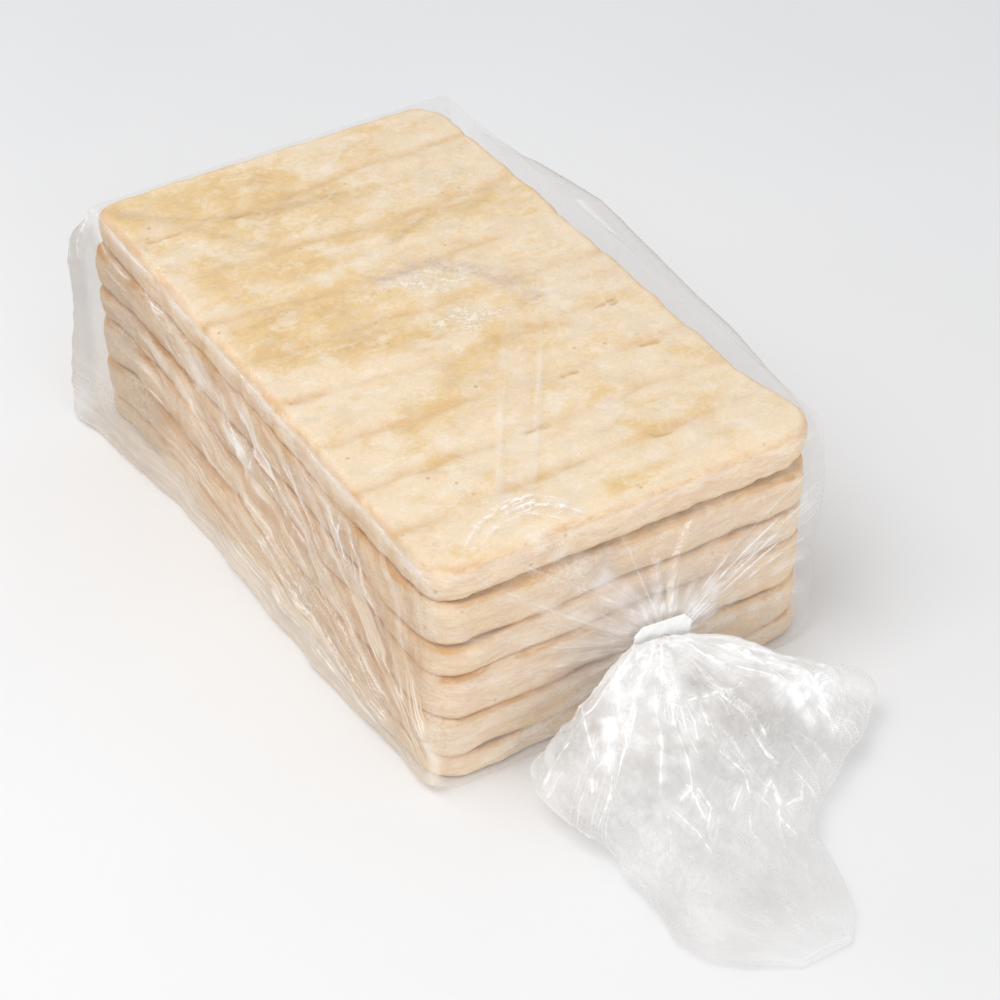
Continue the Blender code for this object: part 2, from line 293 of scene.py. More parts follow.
class NodeBench:
    """Builds one material's nodes."""

    def __init__(self, name: str) -> None:
        """Starts an empty node material.

        Args:
            name: its name.
        """
        self.material = bpy.data.materials.new(name)
        self.material.use_nodes = True
        self.tree = self.material.node_tree
        self.tree.nodes.clear()

    def node(self, kind: str, inputs: dict | None = None, **settings: object) -> bpy.types.Node:
        """Adds a node.

        Args:
            kind: the node's type, without its ShaderNode prefix.
            inputs: by name or number, another node's output or a plain value.
            settings: properties of the node, such as its operation.

        Returns:
            The new node.
        """
        new = self.tree.nodes.new("ShaderNode" + kind)
        for key, value in settings.items():
            setattr(new, key, value)
        for key, source in (inputs or {}).items():
            socket = new.inputs[key]
            if isinstance(source, Socket):
                self.tree.links.new(source, socket)
            else:
                socket.default_value = (*source, 1.0) if socket.type == "RGBA" else source
        return new

    def mark(self, name: str) -> Socket:
        """Reads a value that the mesh carries on its points."""
        return self.node("Attribute", attribute_name=name).outputs["Fac"]

    def scaled(self, place: Socket, scale: Triple) -> Socket:
        """Scales places each way."""
        return self.node("Mapping", {"Vector": place, "Scale": scale}).outputs[0]

    def flow(self, scale: Triple) -> Socket:
        """Gives the film's own map, each way scaled."""
        return self.scaled(self.node("Attribute", attribute_name="flow").outputs["Vector"], scale)

    def place(self, scale: Triple = (1.0, 1.0, 1.0)) -> Socket:
        """Gives the object's own coordinates, each way scaled."""
        return self.scaled(self.node("TexCoord").outputs["Object"], scale)

    def math(self, operation: str, *values: object, clamp: bool = False) -> Socket:
        """Adds a Math node.

        Args:
            operation: its operation.
            values: its inputs in order.
            clamp: whether the result is kept within 0 to 1.

        Returns:
            Its output.
        """
        inputs = dict(enumerate(values))
        return self.node("Math", inputs, operation=operation, use_clamp=clamp).outputs[0]

    def times(self, first: object, second: object) -> Socket:
        """Multiplies two values."""
        return self.math("MULTIPLY", first, second)

    def total(self, *terms: object) -> Socket:
        """Adds values up, from the first on."""
        return reduce(lambda result, term: self.math("ADD", result, term), terms)

    def noise(
        self,
        place: Socket,
        scale: float,
        detail: float,
        roughness: float = 0.55,
        swirl: float = 0.0,
    ) -> Socket:
        """Adds a Noise Texture.

        Args:
            place: its coordinates.
            scale: features to a metre.
            detail: layers of finer noise.
            roughness: strength of the finer layers.
            swirl: how far it is distorted.

        Returns:
            Its value, about 0.5 on average.
        """
        inputs = {"Scale": scale, "Detail": detail, "Roughness": roughness, "Distortion": swirl}
        return self.node("TexNoise", {"Vector": place, **inputs}).outputs["Fac"]

    def span(
        self, value: object, low: float, high: float, to_low: float = 0.0, to_high: float = 1.0
    ) -> Socket:
        """Maps a range smoothly onto another and holds it beyond the ends.

        Args:
            value: what is mapped.
            low: start of its range.
            high: end of its range.
            to_low: result at the start.
            to_high: result at the end.

        Returns:
            The mapped value.
        """
        inputs = {"Value": value, "From Min": low, "From Max": high}
        inputs |= {"To Min": to_low, "To Max": to_high}
        return self.node("MapRange", inputs, interpolation_type="SMOOTHSTEP").outputs["Result"]

    def tint(self, share: object, first: object, second: object) -> Socket:
        """Mixes two colours: the second by its share."""
        inputs = {0: share, 6: first, 7: second}
        return self.node("Mix", inputs, data_type="RGBA", clamp_factor=True).outputs[2]

    def layer(self, share: object, first: bpy.types.Node, second: bpy.types.Node) -> bpy.types.Node:
        """Mixes two shaders: the second by its share."""
        return self.node("MixShader", {0: share, 1: first.outputs[0], 2: second.outputs[0]})

    def bump(self, height: object, strength: float, distance: float) -> Socket:
        """Turns a height from 0 to 1 into a normal, over a distance in metres."""
        inputs = {"Strength": strength, "Distance": distance, "Height": height}
        return self.node("Bump", inputs).outputs["Normal"]

    def finish(self, shader: bpy.types.Node) -> bpy.types.Material:
        """Sends a shader to the material's output and gives the material."""
        self.node("OutputMaterial", {"Surface": shader.outputs[0]})
        return self.material


@dataclass(frozen=True)
class CrustFinish:
    """Dry baked crust: pale dough, gold where it baked darker, browner in the seams."""

    name: str = "crust"
    pale: Triple = (0.875, 0.715, 0.515)
    flour: Triple = (0.94, 0.87, 0.76)
    gold: Triple = (0.81, 0.575, 0.275)
    tan: Triple = (0.66, 0.42, 0.17)
    dull: Triple = (0.70, 0.60, 0.48)
    side: Triple = (0.90, 0.72, 0.53)
    rosy: Triple = (0.80, 0.58, 0.44)
    toasted: Triple = (0.78, 0.53, 0.31)
    # Orange at the joints between sheets: partly browner crust, partly painted bounce light in the
    # gaps.
    joint_glow_tone: Triple = (0.70, 0.39, 0.15)
    seam: Triple = (0.70, 0.44, 0.19)
    greyed: Triple = (0.62, 0.50, 0.42)
    speck: Triple = (0.50, 0.31, 0.14)
    roughness: float = 0.68

    def build(self) -> bpy.types.Material:
        """Builds the material from object coordinates and the sheet's marks.

        Returns:
            The material.
        """
        bench = NodeBench(self.name)
        span, tint, noise, mark = bench.span, bench.tint, bench.noise, bench.mark
        place = bench.place()
        along = bench.place((0.85, 1.0, 1.0))
        cloud = noise(along, 38, 3, 0.6, 0.8)
        blotch = noise(along, 120, 5, 0.7, 0.4)
        grain = noise(along, 380, 4, 0.7)
        fine = noise(place, 1100, 2, 0.6)
        uneven = (span(cloud, 0.3, 0.7, -0.22, 0.22), span(blotch, 0.3, 0.7, -0.24, 0.24))
        baked = bench.total(mark("bake"), *uneven, span(grain, 0.3, 0.7, -0.18, 0.18))
        layered = noise(bench.place((0.35, 0.35, 1.0)), 210, 4, 0.7, 0.5)
        streaks = noise(bench.place((0.22, 0.22, 1.0)), 460, 3, 0.7)
        rosy = bench.times(mark("rim"), span(layered, 0.46, 0.62, 0.0, 0.55))
        crinkle = span(noise(place, 300, 4, 0.7, 1.2), 0.45, 0.53)
        floury = bench.times(mark("flour"), crinkle)
        spots = bench.node("TexVoronoi", {"Vector": place, "Scale": 125.0}, feature="F1")
        near = span(spots.outputs["Distance"], 0.04, 0.17, 0.62, 0.0)
        colour = tint(span(baked, -0.08, 0.82), self.pale, self.gold)
        coats = (
            (span(baked, 0.60, 1.30, 0.0, 0.65), self.tan),
            (span(noise(along, 80, 4, 0.65, 0.4), 0.50, 0.64, 0.0, 0.30), self.dull),
            (span(noise(along, 95, 4, 0.7, 0.4), 0.50, 0.66, 0.0, 0.40), self.flour),
            (bench.times(mark("rim"), span(blotch, 0.3, 0.7, 0.35, 0.9)), self.side),
            (rosy, self.rosy),
            (bench.times(mark("rim"), span(streaks, 0.50, 0.62, 0.0, 0.5)), self.toasted),
            # Orange at the joints between sheets: partly browner crust, partly painted bounce light in
            # the gaps.
            (bench.times(mark("joint_tan_and_glow"), span(layered, 0.36, 0.54, 0.35, 1.0)), self.joint_glow_tone),
            (bench.times(mark("seam"), span(blotch, 0.3, 0.7, 0.4, 1.0)), self.seam),
            (bench.times(floury, 0.9), self.flour),
            (bench.times(mark("grey"), span(grain, 0.38, 0.56, 0.35, 0.95)), self.greyed),
            (bench.times(near, span(noise(place, 61, 2), 0.545, 0.60)), self.speck),
            (span(fine, 0.32, 0.72, 0.0, 0.20), self.tan),
        )
        for share, coat in coats:
            colour = tint(share, colour, coat)
        parts = ((grain, 0.7), (fine, 0.3), (blotch, 0.9), (floury, 0.8), (rosy, 1.2))
        height = bench.total(*(bench.times(part, weight) for part, weight in parts))
        looks = {"Base Color": colour, "Roughness": self.roughness, "Specular IOR Level": 0.25}
        normal = bench.bump(height, 0.45, 0.0010)
        return bench.finish(bench.node("BsdfPrincipled", {**looks, "Normal": normal}))


@dataclass(frozen=True)
class FilmFinish:
    """Thin clear film: it mirrors more at a slant, and folds and gathers turn it milky.

    Folds, bends and some spots carry painted highlights, greyer places painted shade, and the low
    left side a painted reflection of the bread.
    """

    name: str = "film"
    straight_share: float = 0.055
    slant_share: float = 0.24
    haze: float = 0.035
    roughness: float = 0.14
    clear: Triple = (0.992, 0.991, 0.990)
    # Grey of doubled film, and of painted shade and darker reflection.
    shade_grey: Triple = (0.83, 0.815, 0.80)
    shade: Triple = (0.80, 0.71, 0.62)
    milk: Triple = (0.965, 0.955, 0.945)
    # Colour of the painted highlight on folds and bends.
    white: Triple = (1.0, 1.0, 1.0)
    # Tone of the painted reflection of the bread in the low left film.
    bread_reflection_tone: Triple = (1.0, 0.90, 0.76)
    glare: Triple = (0.98, 0.98, 0.99)
    through_share: float = 0.22

    def build(self) -> bpy.types.Material:
        """Builds the material from the film's marks, its own map and noise.

        Returns:
            The material.
        """
        bench = NodeBench(self.name)
        span, tint, noise, mark = bench.span, bench.tint, bench.noise, bench.mark
        place = bench.place()
        flow = bench.flow((1.0, 1.0, 14.0))
        wrinkle = noise(place, 110, 3, 0.6, 0.8)
        fine = noise(place, 420, 2, 0.6)
        streak = noise(flow, 6.0, 3, 0.6)
        broad = noise(flow, 2.0, 2, 0.5)
        parts = ((wrinkle, 0.5), (fine, 0.12), (streak, 0.7))
        height = bench.total(*(bench.times(part, weight) for part, weight in parts))
        facing = bench.node("LayerWeight", {"Blend": 0.5}).outputs["Facing"]
        steep = bench.math("POWER", facing, 5.0)
        mirrored = bench.math("MULTIPLY_ADD", steep, self.slant_share, self.straight_share, clamp=True)
        mirrored = bench.times(mirrored, span(mark("cling"), 0.0, 1.0, 1.0, 0.12))
        broken = span(noise(place, 42, 2, 0.65), 0.40, 0.60, 0.45, 1.0)
        fanned = bench.times(mark("fan"), broken)
        shadows = (span(streak, 0.50, 0.40, 0.0, 0.8), span(broad, 0.49, 0.39, 0.0, 0.9))
        # Greyer film: partly doubled layers, partly painted shade and darker reflection.
        shade_greyed = tint(mark("shade_grey"), self.clear, self.shade_grey)
        shaded = tint(bench.times(fanned, bench.math("MAXIMUM", *shadows)), shade_greyed, self.shade)
        clear = bench.node("BsdfTransparent", {"Color": shaded})
        # Folds and sharp bends are drawn white as a painted highlight, in diffuse and translucent film.
        across = bench.times(bench.math("ABSOLUTE", mark("ridge")), span(wrinkle, 0.35, 0.65, 0.6, 1.7))
        drawn = bench.times(mark("line_highlight"), span(across, 0.25, 0.70, 1.0, 0.0))
        highlighted = bench.math("MAXIMUM", mark("crease_highlight"), drawn)
        # The light brown tone is a painted reflection of the bread in the film.
        tone = {"Color": tint(highlighted, tint(mark("bread_reflection"), self.milk, self.bread_reflection_tone), self.white)}
        through = span(highlighted, 0.05, 0.55, self.through_share, 0.0)
        lit = (bench.node("BsdfDiffuse", tone), bench.node("BsdfTranslucent", tone))
        milk = bench.layer(through, *lit)
        dusty = span(wrinkle, 0.45, 0.75, self.haze * 0.5, self.haze * 2.0)
        gathered = bench.times(mark("veil"), span(streak, 0.40, 0.66, 0.72, 1.22))
        paler = bench.total(span(streak, 0.54, 0.66, 0.0, 0.4), span(broad, 0.50, 0.62, 0.0, 0.42))
        lined = bench.total(bench.times(fanned, paler), span(streak, 0.62, 0.76, 0.0, 0.05))
        whitened = (bench.total(highlighted, dusty), bench.total(gathered, lined))
        sheet = bench.layer(bench.math("ADD", *whitened, clamp=True), clear, milk)
        looks = {"Color": self.glare, "Roughness": self.roughness}
        gloss = bench.node("BsdfGlossy", {**looks, "Normal": bench.bump(height, 0.5, 0.0014)})
        return bench.finish(bench.layer(mirrored, sheet, gloss))


@dataclass(frozen=True)
class ClipFinish:
    """Satin white moulded plastic, faintly uneven."""

    name: str = "clip_plastic"
    white: Triple = (0.985, 0.98, 0.97)
    shade: Triple = (0.90, 0.895, 0.885)
    roughness: float = 0.36

    def build(self) -> bpy.types.Material:
        """Builds the material from object coordinates.

        Returns:
            The material.
        """
        bench = NodeBench(self.name)
        mottle = bench.noise(bench.place(), 260, 3, 0.5)
        looks = {
            "Base Color": bench.tint(bench.span(mottle, 0.35, 0.65), self.white, self.shade),
            "Roughness": bench.span(mottle, 0.3, 0.7, self.roughness, self.roughness + 0.1),
            "Normal": bench.bump(mottle, 0.15, 0.0002),
        }
        return bench.finish(bench.node("BsdfPrincipled", looks))


@dataclass(frozen=True)
class FloorFinish:
    """Matte pale table top."""

    name: str = "table"
    tone: Triple = (0.835, 0.83, 0.83)

    def build(self) -> bpy.types.Material:
        """Builds the material, with a trace of unevenness.

        Returns:
            The material.
        """
        bench = NodeBench(self.name)
        mottle = bench.noise(bench.place(), 6, 2, 0.5)
        darker = tuple(0.985 * c for c in self.tone)
        tone = bench.tint(bench.span(mottle, 0.3, 0.7), self.tone, darker)
        looks = {"Base Color": tone, "Roughness": 0.85, "Specular IOR Level": 0.1}
        return bench.finish(bench.node("BsdfPrincipled", looks))


# ---------------------------------------------------------------- bread

# Where the top sheet baked darker, in mm: x, y, half width, half length, strength.
BAKED_PATCHES_MM = (
    (-56, 132, 34, 16, 0.62), (-18, 126, 20, 14, 0.48), (38, 132, 12, 16, 0.42),
    (-28, 98, 34, 17, 0.62), (6, 96, 24, 14, 0.40), (-48, 74, 24, 9, 0.55),
    (-34, 57, 24, 11, 0.80), (-68, 64, 11, 12, 0.55), (4, 66, 26, 8, 0.50),
    (42, 62, 36, 10, 0.52), (72, 72, 20, 8, 0.30), (-58, 24, 32, 13, 0.95),
    (-34, 28, 16, 9, 0.70), (-56, 0, 40, 9, 0.70), (-10, 18, 13, 8, 0.45),
    (-15, -8, 24, 8, 0.62), (12, 6, 13, 5, 0.50), (36, -2, 11, 15, 0.52),
    (18, -30, 22, 16, 0.62), (-14, -45, 17, 12, 0.60), (-46, -60, 20, 8, 0.75),
    (26, -80, 11, 6, 0.50), (28, -108, 9, 5, 0.50), (50, -100, 9, 6, 0.40),
    (-30, -112, 13, 5, 0.50), (-52, -90, 7, 4, 0.70), (4, -135, 9, 6, 0.35),
    (28, -140, 11, 7, 0.30), (62, 16, 24, 12, 0.22), (64, 45, 20, 8, 0.28),
)

# The whitish crinkled patch in the middle of the top sheet, in the same form.
FLOUR_PATCHES_MM = (
    (-4, 24, 12, 5, 1.0), (10, 26, 10, 4, 0.8), (20, 15, 12, 5, 1.0), (2, -10, 9, 5, 0.9),
    (16, -13, 12, 6, 1.0), (-60, 86, 12, 6, 0.3), (50, 85, 26, 8, 0.35), (60, -10, 22, 20, 0.3),
)

# The greyish arc round that patch, in mm: x, y.
GREY_ARC_MM = ((-6, 33), (14, 33), (26, 25), (35, 12), (40, -4), (42, -12))

# Short open cracks in the top sheet, in mm: x and y of both ends.
CRACKS_MM = (
    (19, -66.5, 31, -67.5), (59, -65, 72, -66.5), (57, -34, 67, -31.5), (-62, -90, -50, -91),
    (-84, 112, -58, 111), (-50, 109, -28, 107), (-12, -90, 2, -91), (66, -33, 72, -31),
    (30, -119, 44, -121),
)

# Darker lines of painted shade where the film is doubled over the top sheet, in mm: x, y.
DOUBLED_LINES_MM = (
    ((-89, 142), (-72, 120), (-46, 86), (-34, 72)),
    ((-88, 140), (-58, 112), (-20, 101), (22, 97), (64, 92)),
    ((6, 52), (28, 62), (62, 66)),
)

# Pale bands where the film is doubled over the top sheet, and last a painted highlight on the
# right fold's ridge: x and y in mm, half width in mm, share.
CLOUDED_BANDS_MM = (
    (((-42, -132), (-12, -84), (14, -40), (32, -8)), 5.5, 0.18),
    (((-37, -132), (-6, -88), (22, -46), (38, -14)), 1.6, 0.22),
    (((-48, -128), (-20, -82), (6, -42), (26, -14)), 1.6, 0.20),
    (((-22, -104), (0, -70), (16, -42)), 1.4, 0.14),
    # A painted highlight: the glint on the ridge of the loose fold on the right.
    (((102, 50), (99.5, 32), (95.5, -4)), 3.0, 1.0),
)

# Where each seam of the top sheet runs, in mm: y at the left edge, the middle and the right.
TOP_SEAMS_MM = (
    (-118, -117, -116), (-88, -89, -90), (-55, -61, -62), (-22, -30, -28),
    (10, 5, 3), (43, 35, 40), (80, 72, 76), (112, 114, 116),
)


@dataclass
class BreadSheet:
    """One sheet of breadsticks, baked side by side and still joined."""

    number: int
    floor_level: float
    top_level: float
    seams: Array
    middle: Pair
    paleness: float
    pitch: Pair = (0.0034, 0.0016)
    upper_round: float = 0.0030
    lower_round: float = 0.0028
    rim_samples: int = 14
    rim_reach: float = 0.0075
    groove_depth: float = 0.0009
    groove_width: float = 0.0012
    side_margin: float = 0.0010
    end_margin: float = 0.0004
    groove_share: float = 0.8
    joint_wave: float = 0.0005
    opening_reach: float = 0.009
    wobble_reach: float = 0.010
    wobble: float = 0.0008
    notch: float = 0.0009
    joint_glow_share: float = 1.0
    relief_layers: tuple[Pair, ...] = ((0.00042, 0.030), (0.00020, 0.010), (0.00008, 0.0042))
    wobble_layers: tuple[Pair, ...] = ((0.00034, 0.012), (0.00012, 0.0045))

    @property
    def seed(self) -> int:
        """Starts the sheet's random numbers."""
        return 40 + 13 * self.number

    def grid_line(self, half: float, pitch: float) -> Array:
        """Places samples across the sheet, crowded towards both edges by a fourth power.

        Args:
            half: half the sheet's size this way.
            pitch: spacing in the middle.

        Returns:
            Sample places from -half to half.
        """
        shares = np.arange(self.rim_samples + 1) / self.rim_samples
        insets = self.rim_reach * shares**4
        inner = half - self.rim_reach
        middle = np.linspace(-inner, inner, int(2 * inner / pitch) + 1)[1:-1]
        return np.concatenate([-half + insets, middle, half - insets[::-1]])

    def outline(self) -> tuple[Array, Array, Array]:
        """Lays out the plan: a rectangle whose corner squares are pulled into round corners.

        Returns:
            Plan places (rows, columns, 2), distance from the rim, and the outward direction.
        """
        half = np.array([SIDE - self.side_margin, SHEET_LENGTH / 2 - self.end_margin])
        xs = self.grid_line(half[0], self.pitch[0])
        ys = self.grid_line(half[1], self.pitch[1])
        plan = np.stack(np.meshgrid(xs, ys, indexing="xy"), axis=-1)
        inset = np.min(half - np.abs(plan), axis=-1)
        over = np.abs(plan) - (half - PLAN_CORNER)
        both = np.all(over > 0, axis=-1)
        reach = np.maximum(np.hypot(over[..., 0], over[..., 1]), 1e-9)
        pull = np.where(both, np.max(over, axis=-1) / reach, 1.0)
        corner = np.sign(plan) * (half - PLAN_CORNER + over * pull[..., None])
        plan = np.where(both[..., None], corner, plan)
        outward = np.sign(plan) * np.maximum(np.abs(plan) - (half - PLAN_CORNER), 0)
        length = np.maximum(np.linalg.norm(outward, axis=-1, keepdims=True), 1e-9)
        return plan, inset, outward / length

    def grooves(self, plan: Array) -> tuple[Array, Array]:
        """Finds how deep and how near the seams between the breadsticks are.

        Each seam wanders about its line. Its groove is a narrow bell of uneven depth in a wide
        shallow one.

        Args:
            plan: plan places.

        Returns:
            The groove's depth in metres, and the seam's nearness from 0 to 1.
        """
        x, y = plan[..., 0], plan[..., 1]
        share = x / SIDE
        depth = np.zeros(x.shape)
        near = np.zeros(x.shape)
        for number, (left, centre, right) in enumerate(self.seams):
            run = centre + share * (right - left) / 2 + share**2 * ((left + right) / 2 - centre)
            track = np.stack([x, np.full(x.shape, 0.03 * number)], axis=-1)
            run = run + 0.0011 * sine_noise(track, 0.030, self.seed * 7 + number)
            away = np.abs(y - run)
            strength = 0.5 + 0.35 * sine_noise(track, 0.050, self.seed * 11 + number)
            strength = np.clip(strength, 0.12, 1.1)
            narrow = self.groove_depth * bell(away, self.groove_width)
            depth += strength * narrow + 0.00060 * bell(away, 0.0048)
            coloured = bell(away, 1.7 * self.groove_width) * np.clip(strength, 0, 1)
            near = np.maximum(near, coloured)
        return depth, near

    def stretching(self, plan: Array) -> Array:
        """Says how far each place is drawn out of the rectangle: the far left corner is."""
        away = np.linalg.norm(plan - self.far_left(), axis=-1)
        return np.stack([-0.0064 * bell(away, 0.017), 0.0046 * bell(away, 0.010)], axis=-1)

    def far_left(self) -> Array:
        """Gives the far left corner of the rectangle."""
        return np.array([-SIDE + self.side_margin, SHEET_LENGTH / 2 - self.end_margin])

    def relief(self, plan: Array) -> Array:
        """Gives the crust's own unevenness: three sizes of soft noise, longest along the sticks."""
        return layered_noise(plan * np.array([0.6, 1.0]), self.relief_layers, self.seed + 1)

    def baking(self, plan: Array) -> Array:
        """Says how dark each place baked, from 0, pale, to about 1, deep gold."""
        stretched = plan * np.array([0.55, 1.0])
        return 0.30 + 0.26 * sine_noise(stretched, 0.045, self.seed + 5)

    def flouring(self, plan: Array) -> Array:
        """Says where dry flour whitens the crust, from 0 to 1."""
        return np.clip(0.6 * sine_noise(plan, 0.05, self.seed + 6) - 0.4 + self.paleness, 0, 1)

    def greying(self, plan: Array) -> Array:
        """Says where the crust is greyish, from 0 to 1."""
        return np.clip(0.5 * sine_noise(plan, 0.03, self.seed + 12) - 0.6, 0, 1)

    def opening(self, plan: Array, inset: Array, level: int) -> Array:
        """Gives how far a face draws back from its neighbour near the rim, unevenly.

        Args:
            plan: plan places.
            inset: distance from the rim.
            level: number of the joint between two sheets, from the table up.

        Returns:
            The distance in metres, zero well inside.
        """
        gap = 0.00030 * (1 + 1.4 * sine_noise(plan, 0.045, Seed.OPENING + level))
        gap += 0.00022 * sine_noise(plan, 0.010, Seed.OPENING_FINE + level)
        if level == TOP_NUMBER:
            front = ramp(-0.13, -0.15, plan[..., 1])
            gap += 0.0009 * front * ramp(-0.085, -0.06, plan[..., 0])
            ragged = np.clip(0.4 + sine_noise(plan, 0.011, Seed.OPENING_RAGGED), 0, 1.3)
            gap += 0.0008 * ragged * front * ramp(-0.03, 0.02, plan[..., 0])
        return np.clip(gap, 0, None) * np.exp(-inset / self.opening_reach)

    def faces_of(self, plan: Array, inset: Array, depth: Array) -> tuple[Array, Array]:
        """Lays out the upper and the lower face.

        From the rim's mid height each face rises on a superellipse of the distance from the
        rim, z = b (1 - (1 - t)^3)^(1/3), and its joint with the next sheet follows a slow wave
        that the two share.

        Args:
            plan: plan places.
            inset: distance from the rim.
            depth: the grooves' depth.

        Returns:
            The heights of both faces.
        """
        number, inner = self.number, self.number > 0
        waves = [self.joint_wave * sine_noise(plan, 0.09, Seed.JOINT + number + k) for k in (0, 1)]
        top = self.top_level - self.opening(plan, inset, number + 1)
        if number < TOP_NUMBER:
            top = self.top_level + waves[1] - self.opening(plan, inset, number + 1)
        under = self.floor_level + waves[0] * inner + self.opening(plan, inset, number) * inner
        middle = (top + under) / 2
        upper = self.shoulder(inset, self.upper_round) * (top - middle - depth * self.groove_share)
        lower = self.shoulder(inset, self.lower_round) * (under - middle)
        fade = ramp(0.0, 0.006, inset)
        upper += fade * np.minimum(self.relief(plan), 0.0006) - 0.0004 * fade
        return middle + upper, middle + lower

    def coloured(self, plan: Array, inset: Array, near: Array) -> Marks:
        """Gives the marks that the crust's material reads.

        Args:
            plan: plan places.
            inset: distance from the rim.
            near: the seams' nearness.

        Returns:
            Each mark on the plan places.
        """
        wall = 1 - ramp(0.0004, 0.0040, inset)
        # Near the joints between sheets: partly browner crust, partly painted bounce light in the gaps.
        joint_tan_and_glow = wall * ramp(0.55, 0.95, self.shoulder(inset, 0.0042)) + 0.8 * wall * (inset > 0.0005)
        patchy = 0.5 + 0.5 * ramp(-0.5, 0.8, sine_noise(plan, 0.03, self.seed + 4))
        return {
            "bake": self.baking(plan),
            "flour": self.flouring(plan),
            "grey": self.greying(plan),
            "seam": near,
            "rim": wall,
            "joint_tan_and_glow": np.clip(joint_tan_and_glow, 0, 1) * patchy * self.joint_glow_share,
        }

    def build(self) -> Piece:
        """Builds the sheet as one closed shell: an upper and a lower grid that share their rim.

        Returns:
            The sheet's object.
        """
        plan, inset, outward = self.outline()
        depth, near = self.grooves(plan)
        notch = self.notch * near * (np.abs(outward[..., 0]) > 0.9)
        grown = []
        for height in self.faces_of(plan, inset, depth):
            solid = np.concatenate([plan, height[..., None]], axis=-1)
            wobble = layered_noise(solid, ((self.wobble, 0.040), *self.wobble_layers), self.seed + 8)
            shift = (wobble - notch) * np.exp(-inset / self.wobble_reach)
            moved = plan + outward * shift[..., None] + np.array(self.middle) + self.stretching(plan)
            grown.append(np.concatenate([moved, height[..., None]], axis=-1))
        rows, columns = inset.shape
        inner = np.zeros((rows, columns), bool)
        inner[1:-1, 1:-1] = True
        below = np.arange(rows * columns).reshape(rows, columns)
        below[inner] = rows * columns + np.arange(np.count_nonzero(inner))
        points = np.concatenate([grown[0].reshape(-1, 3), grown[1][inner]])
        marks = self.coloured(plan, inset, near).items()
        marks = {label: np.concatenate([v.ravel(), v[inner]]) for label, v in marks}
        faces = sheet_quads(rows, columns, False)
        shells = [faces, below.ravel()[faces][:, ::-1]]
        return make_piece(f"bread_sheet_{self.number + 1}", points, shells, marks)

    @staticmethod
    def shoulder(inset: Array, radius: float) -> Array:
        """Gives a rounded edge's rise from 0 at the rim to 1 at the radius, by a superellipse."""
        share = np.clip(inset / radius, 0, 1)
        return (1 - (1 - share) ** 3) ** (1 / 3)


@dataclass
class TopSheet(BreadSheet):
    """The top sheet, whose browned patches and seams show."""

    pitch: Pair = (0.0020, 0.00088)
    upper_round: float = 0.0048
    lower_round: float = 0.0034
    groove_depth: float = 0.0007
    groove_width: float = 0.0017
    side_margin: float = 0.0040
    end_margin: float = 0.0007
    groove_share: float = 1.0
    wobble: float = 0.0005
    notch: float = 0.0003
    joint_glow_share: float = 0.5

    def patches(self, plan: Array, table: tuple[tuple[float, ...], ...]) -> Array:
        """Adds up soft oval patches: strength times a bell of the distance over the half sizes.

        Args:
            plan: plan places.
            table: patches in mm: x, y, half width, half length, strength.

        Returns:
            Their sum at each place.
        """
        warp = np.stack([0.004 * sine_noise(plan, 0.022, self.seed + k) for k in (20, 21)], axis=-1)
        total = np.zeros(plan.shape[:-1])
        for x, y, half_width, half_length, strength in table:
            away = (plan + warp - np.array([x, y]) * MM) / (np.array([half_width, half_length]) * MM)
            total += strength * bell(np.linalg.norm(away, axis=-1), 1.0)
        return total

    def grooves(self, plan: Array) -> tuple[Array, Array]:
        """Adds the short open cracks to the seams.

        Args:
            plan: plan places.

        Returns:
            The groove's depth in metres, and the seam's nearness from 0 to 1.
        """
        depth, near = super().grooves(plan)
        wander = 0.0009 * sine_noise(plan, 0.012, self.seed + 17)
        for crack in np.array(CRACKS_MM) * MM:
            away, along, _ = line_distance(plan, crack.reshape(2, 2))
            ends = ramp(0, 0.2, along) * ramp(1, 0.8, along)
            away = np.abs(away + wander) + 0.003 * (1 - ends)
            depth += 0.0012 * bell(away, 0.0012)
            near = np.maximum(near, 1.5 * bell(away, 0.0013))
        return depth, near

    def faces_of(self, plan: Array, inset: Array, depth: Array) -> tuple[Array, Array]:
        """Lays out both faces, with grooves that fade out towards the rim.

        Args:
            plan: plan places.
            inset: distance from the rim.
            depth: the grooves' depth.

        Returns:
            The heights of both faces.
        """
        return super().faces_of(plan, inset, depth * (0.4 + 0.6 * ramp(0.002, 0.014, inset)))

    def stretching(self, plan: Array) -> Array:
        """Says how far each place is drawn out: the clip end's right corner, and the far left.

        Args:
            plan: plan places.

        Returns:
            The move in x and y.
        """
        share = ramp(0.02, SIDE - 0.01, plan[..., 0]) * ramp(-0.10, -0.135, plan[..., 1])
        pull = 0.0048 * bell(np.linalg.norm(plan - self.far_left(), axis=-1), 0.010)
        return np.stack([0.0052 * share - pull, pull], axis=-1)

    def baking(self, plan: Array) -> Array:
        """Says how dark each place baked: soft patches on pale dough, darker to the far left.

        Args:
            plan: plan places.

        Returns:
            From 0, pale, to about 1, deep gold.
        """
        slope = 0.10 * ramp(-0.04, 0.12, plan[..., 1]) * ramp(0.07, -0.05, plan[..., 0])
        edge = 0.30 * ramp(-0.076, -0.090, plan[..., 0]) * ramp(0.125, 0.10, plan[..., 1])
        mottle = 0.10 * sine_noise(plan * np.array([0.6, 1.0]), 0.016, self.seed + 7)
        return 0.10 + slope - edge + mottle + 0.95 * self.patches(plan, BAKED_PATCHES_MM)

    def flouring(self, plan: Array) -> Array:
        """Says where the crust is whitish and crinkled."""
        return np.clip(self.patches(plan, FLOUR_PATCHES_MM), 0, 1)

    def greying(self, plan: Array) -> Array:
        """Says where the crust is greyish: round the crinkled patch.

        Args:
            plan: plan places.

        Returns:
            From 0 to 1, by a bell of the distance to the arc.
        """
        away, _, _ = line_distance(plan, np.array(GREY_ARC_MM) * MM)
        ragged = 0.65 + 0.4 * sine_noise(plan, 0.009, self.seed + 13)
        return np.clip(bell(away, 0.0055) * ragged, 0, 1)


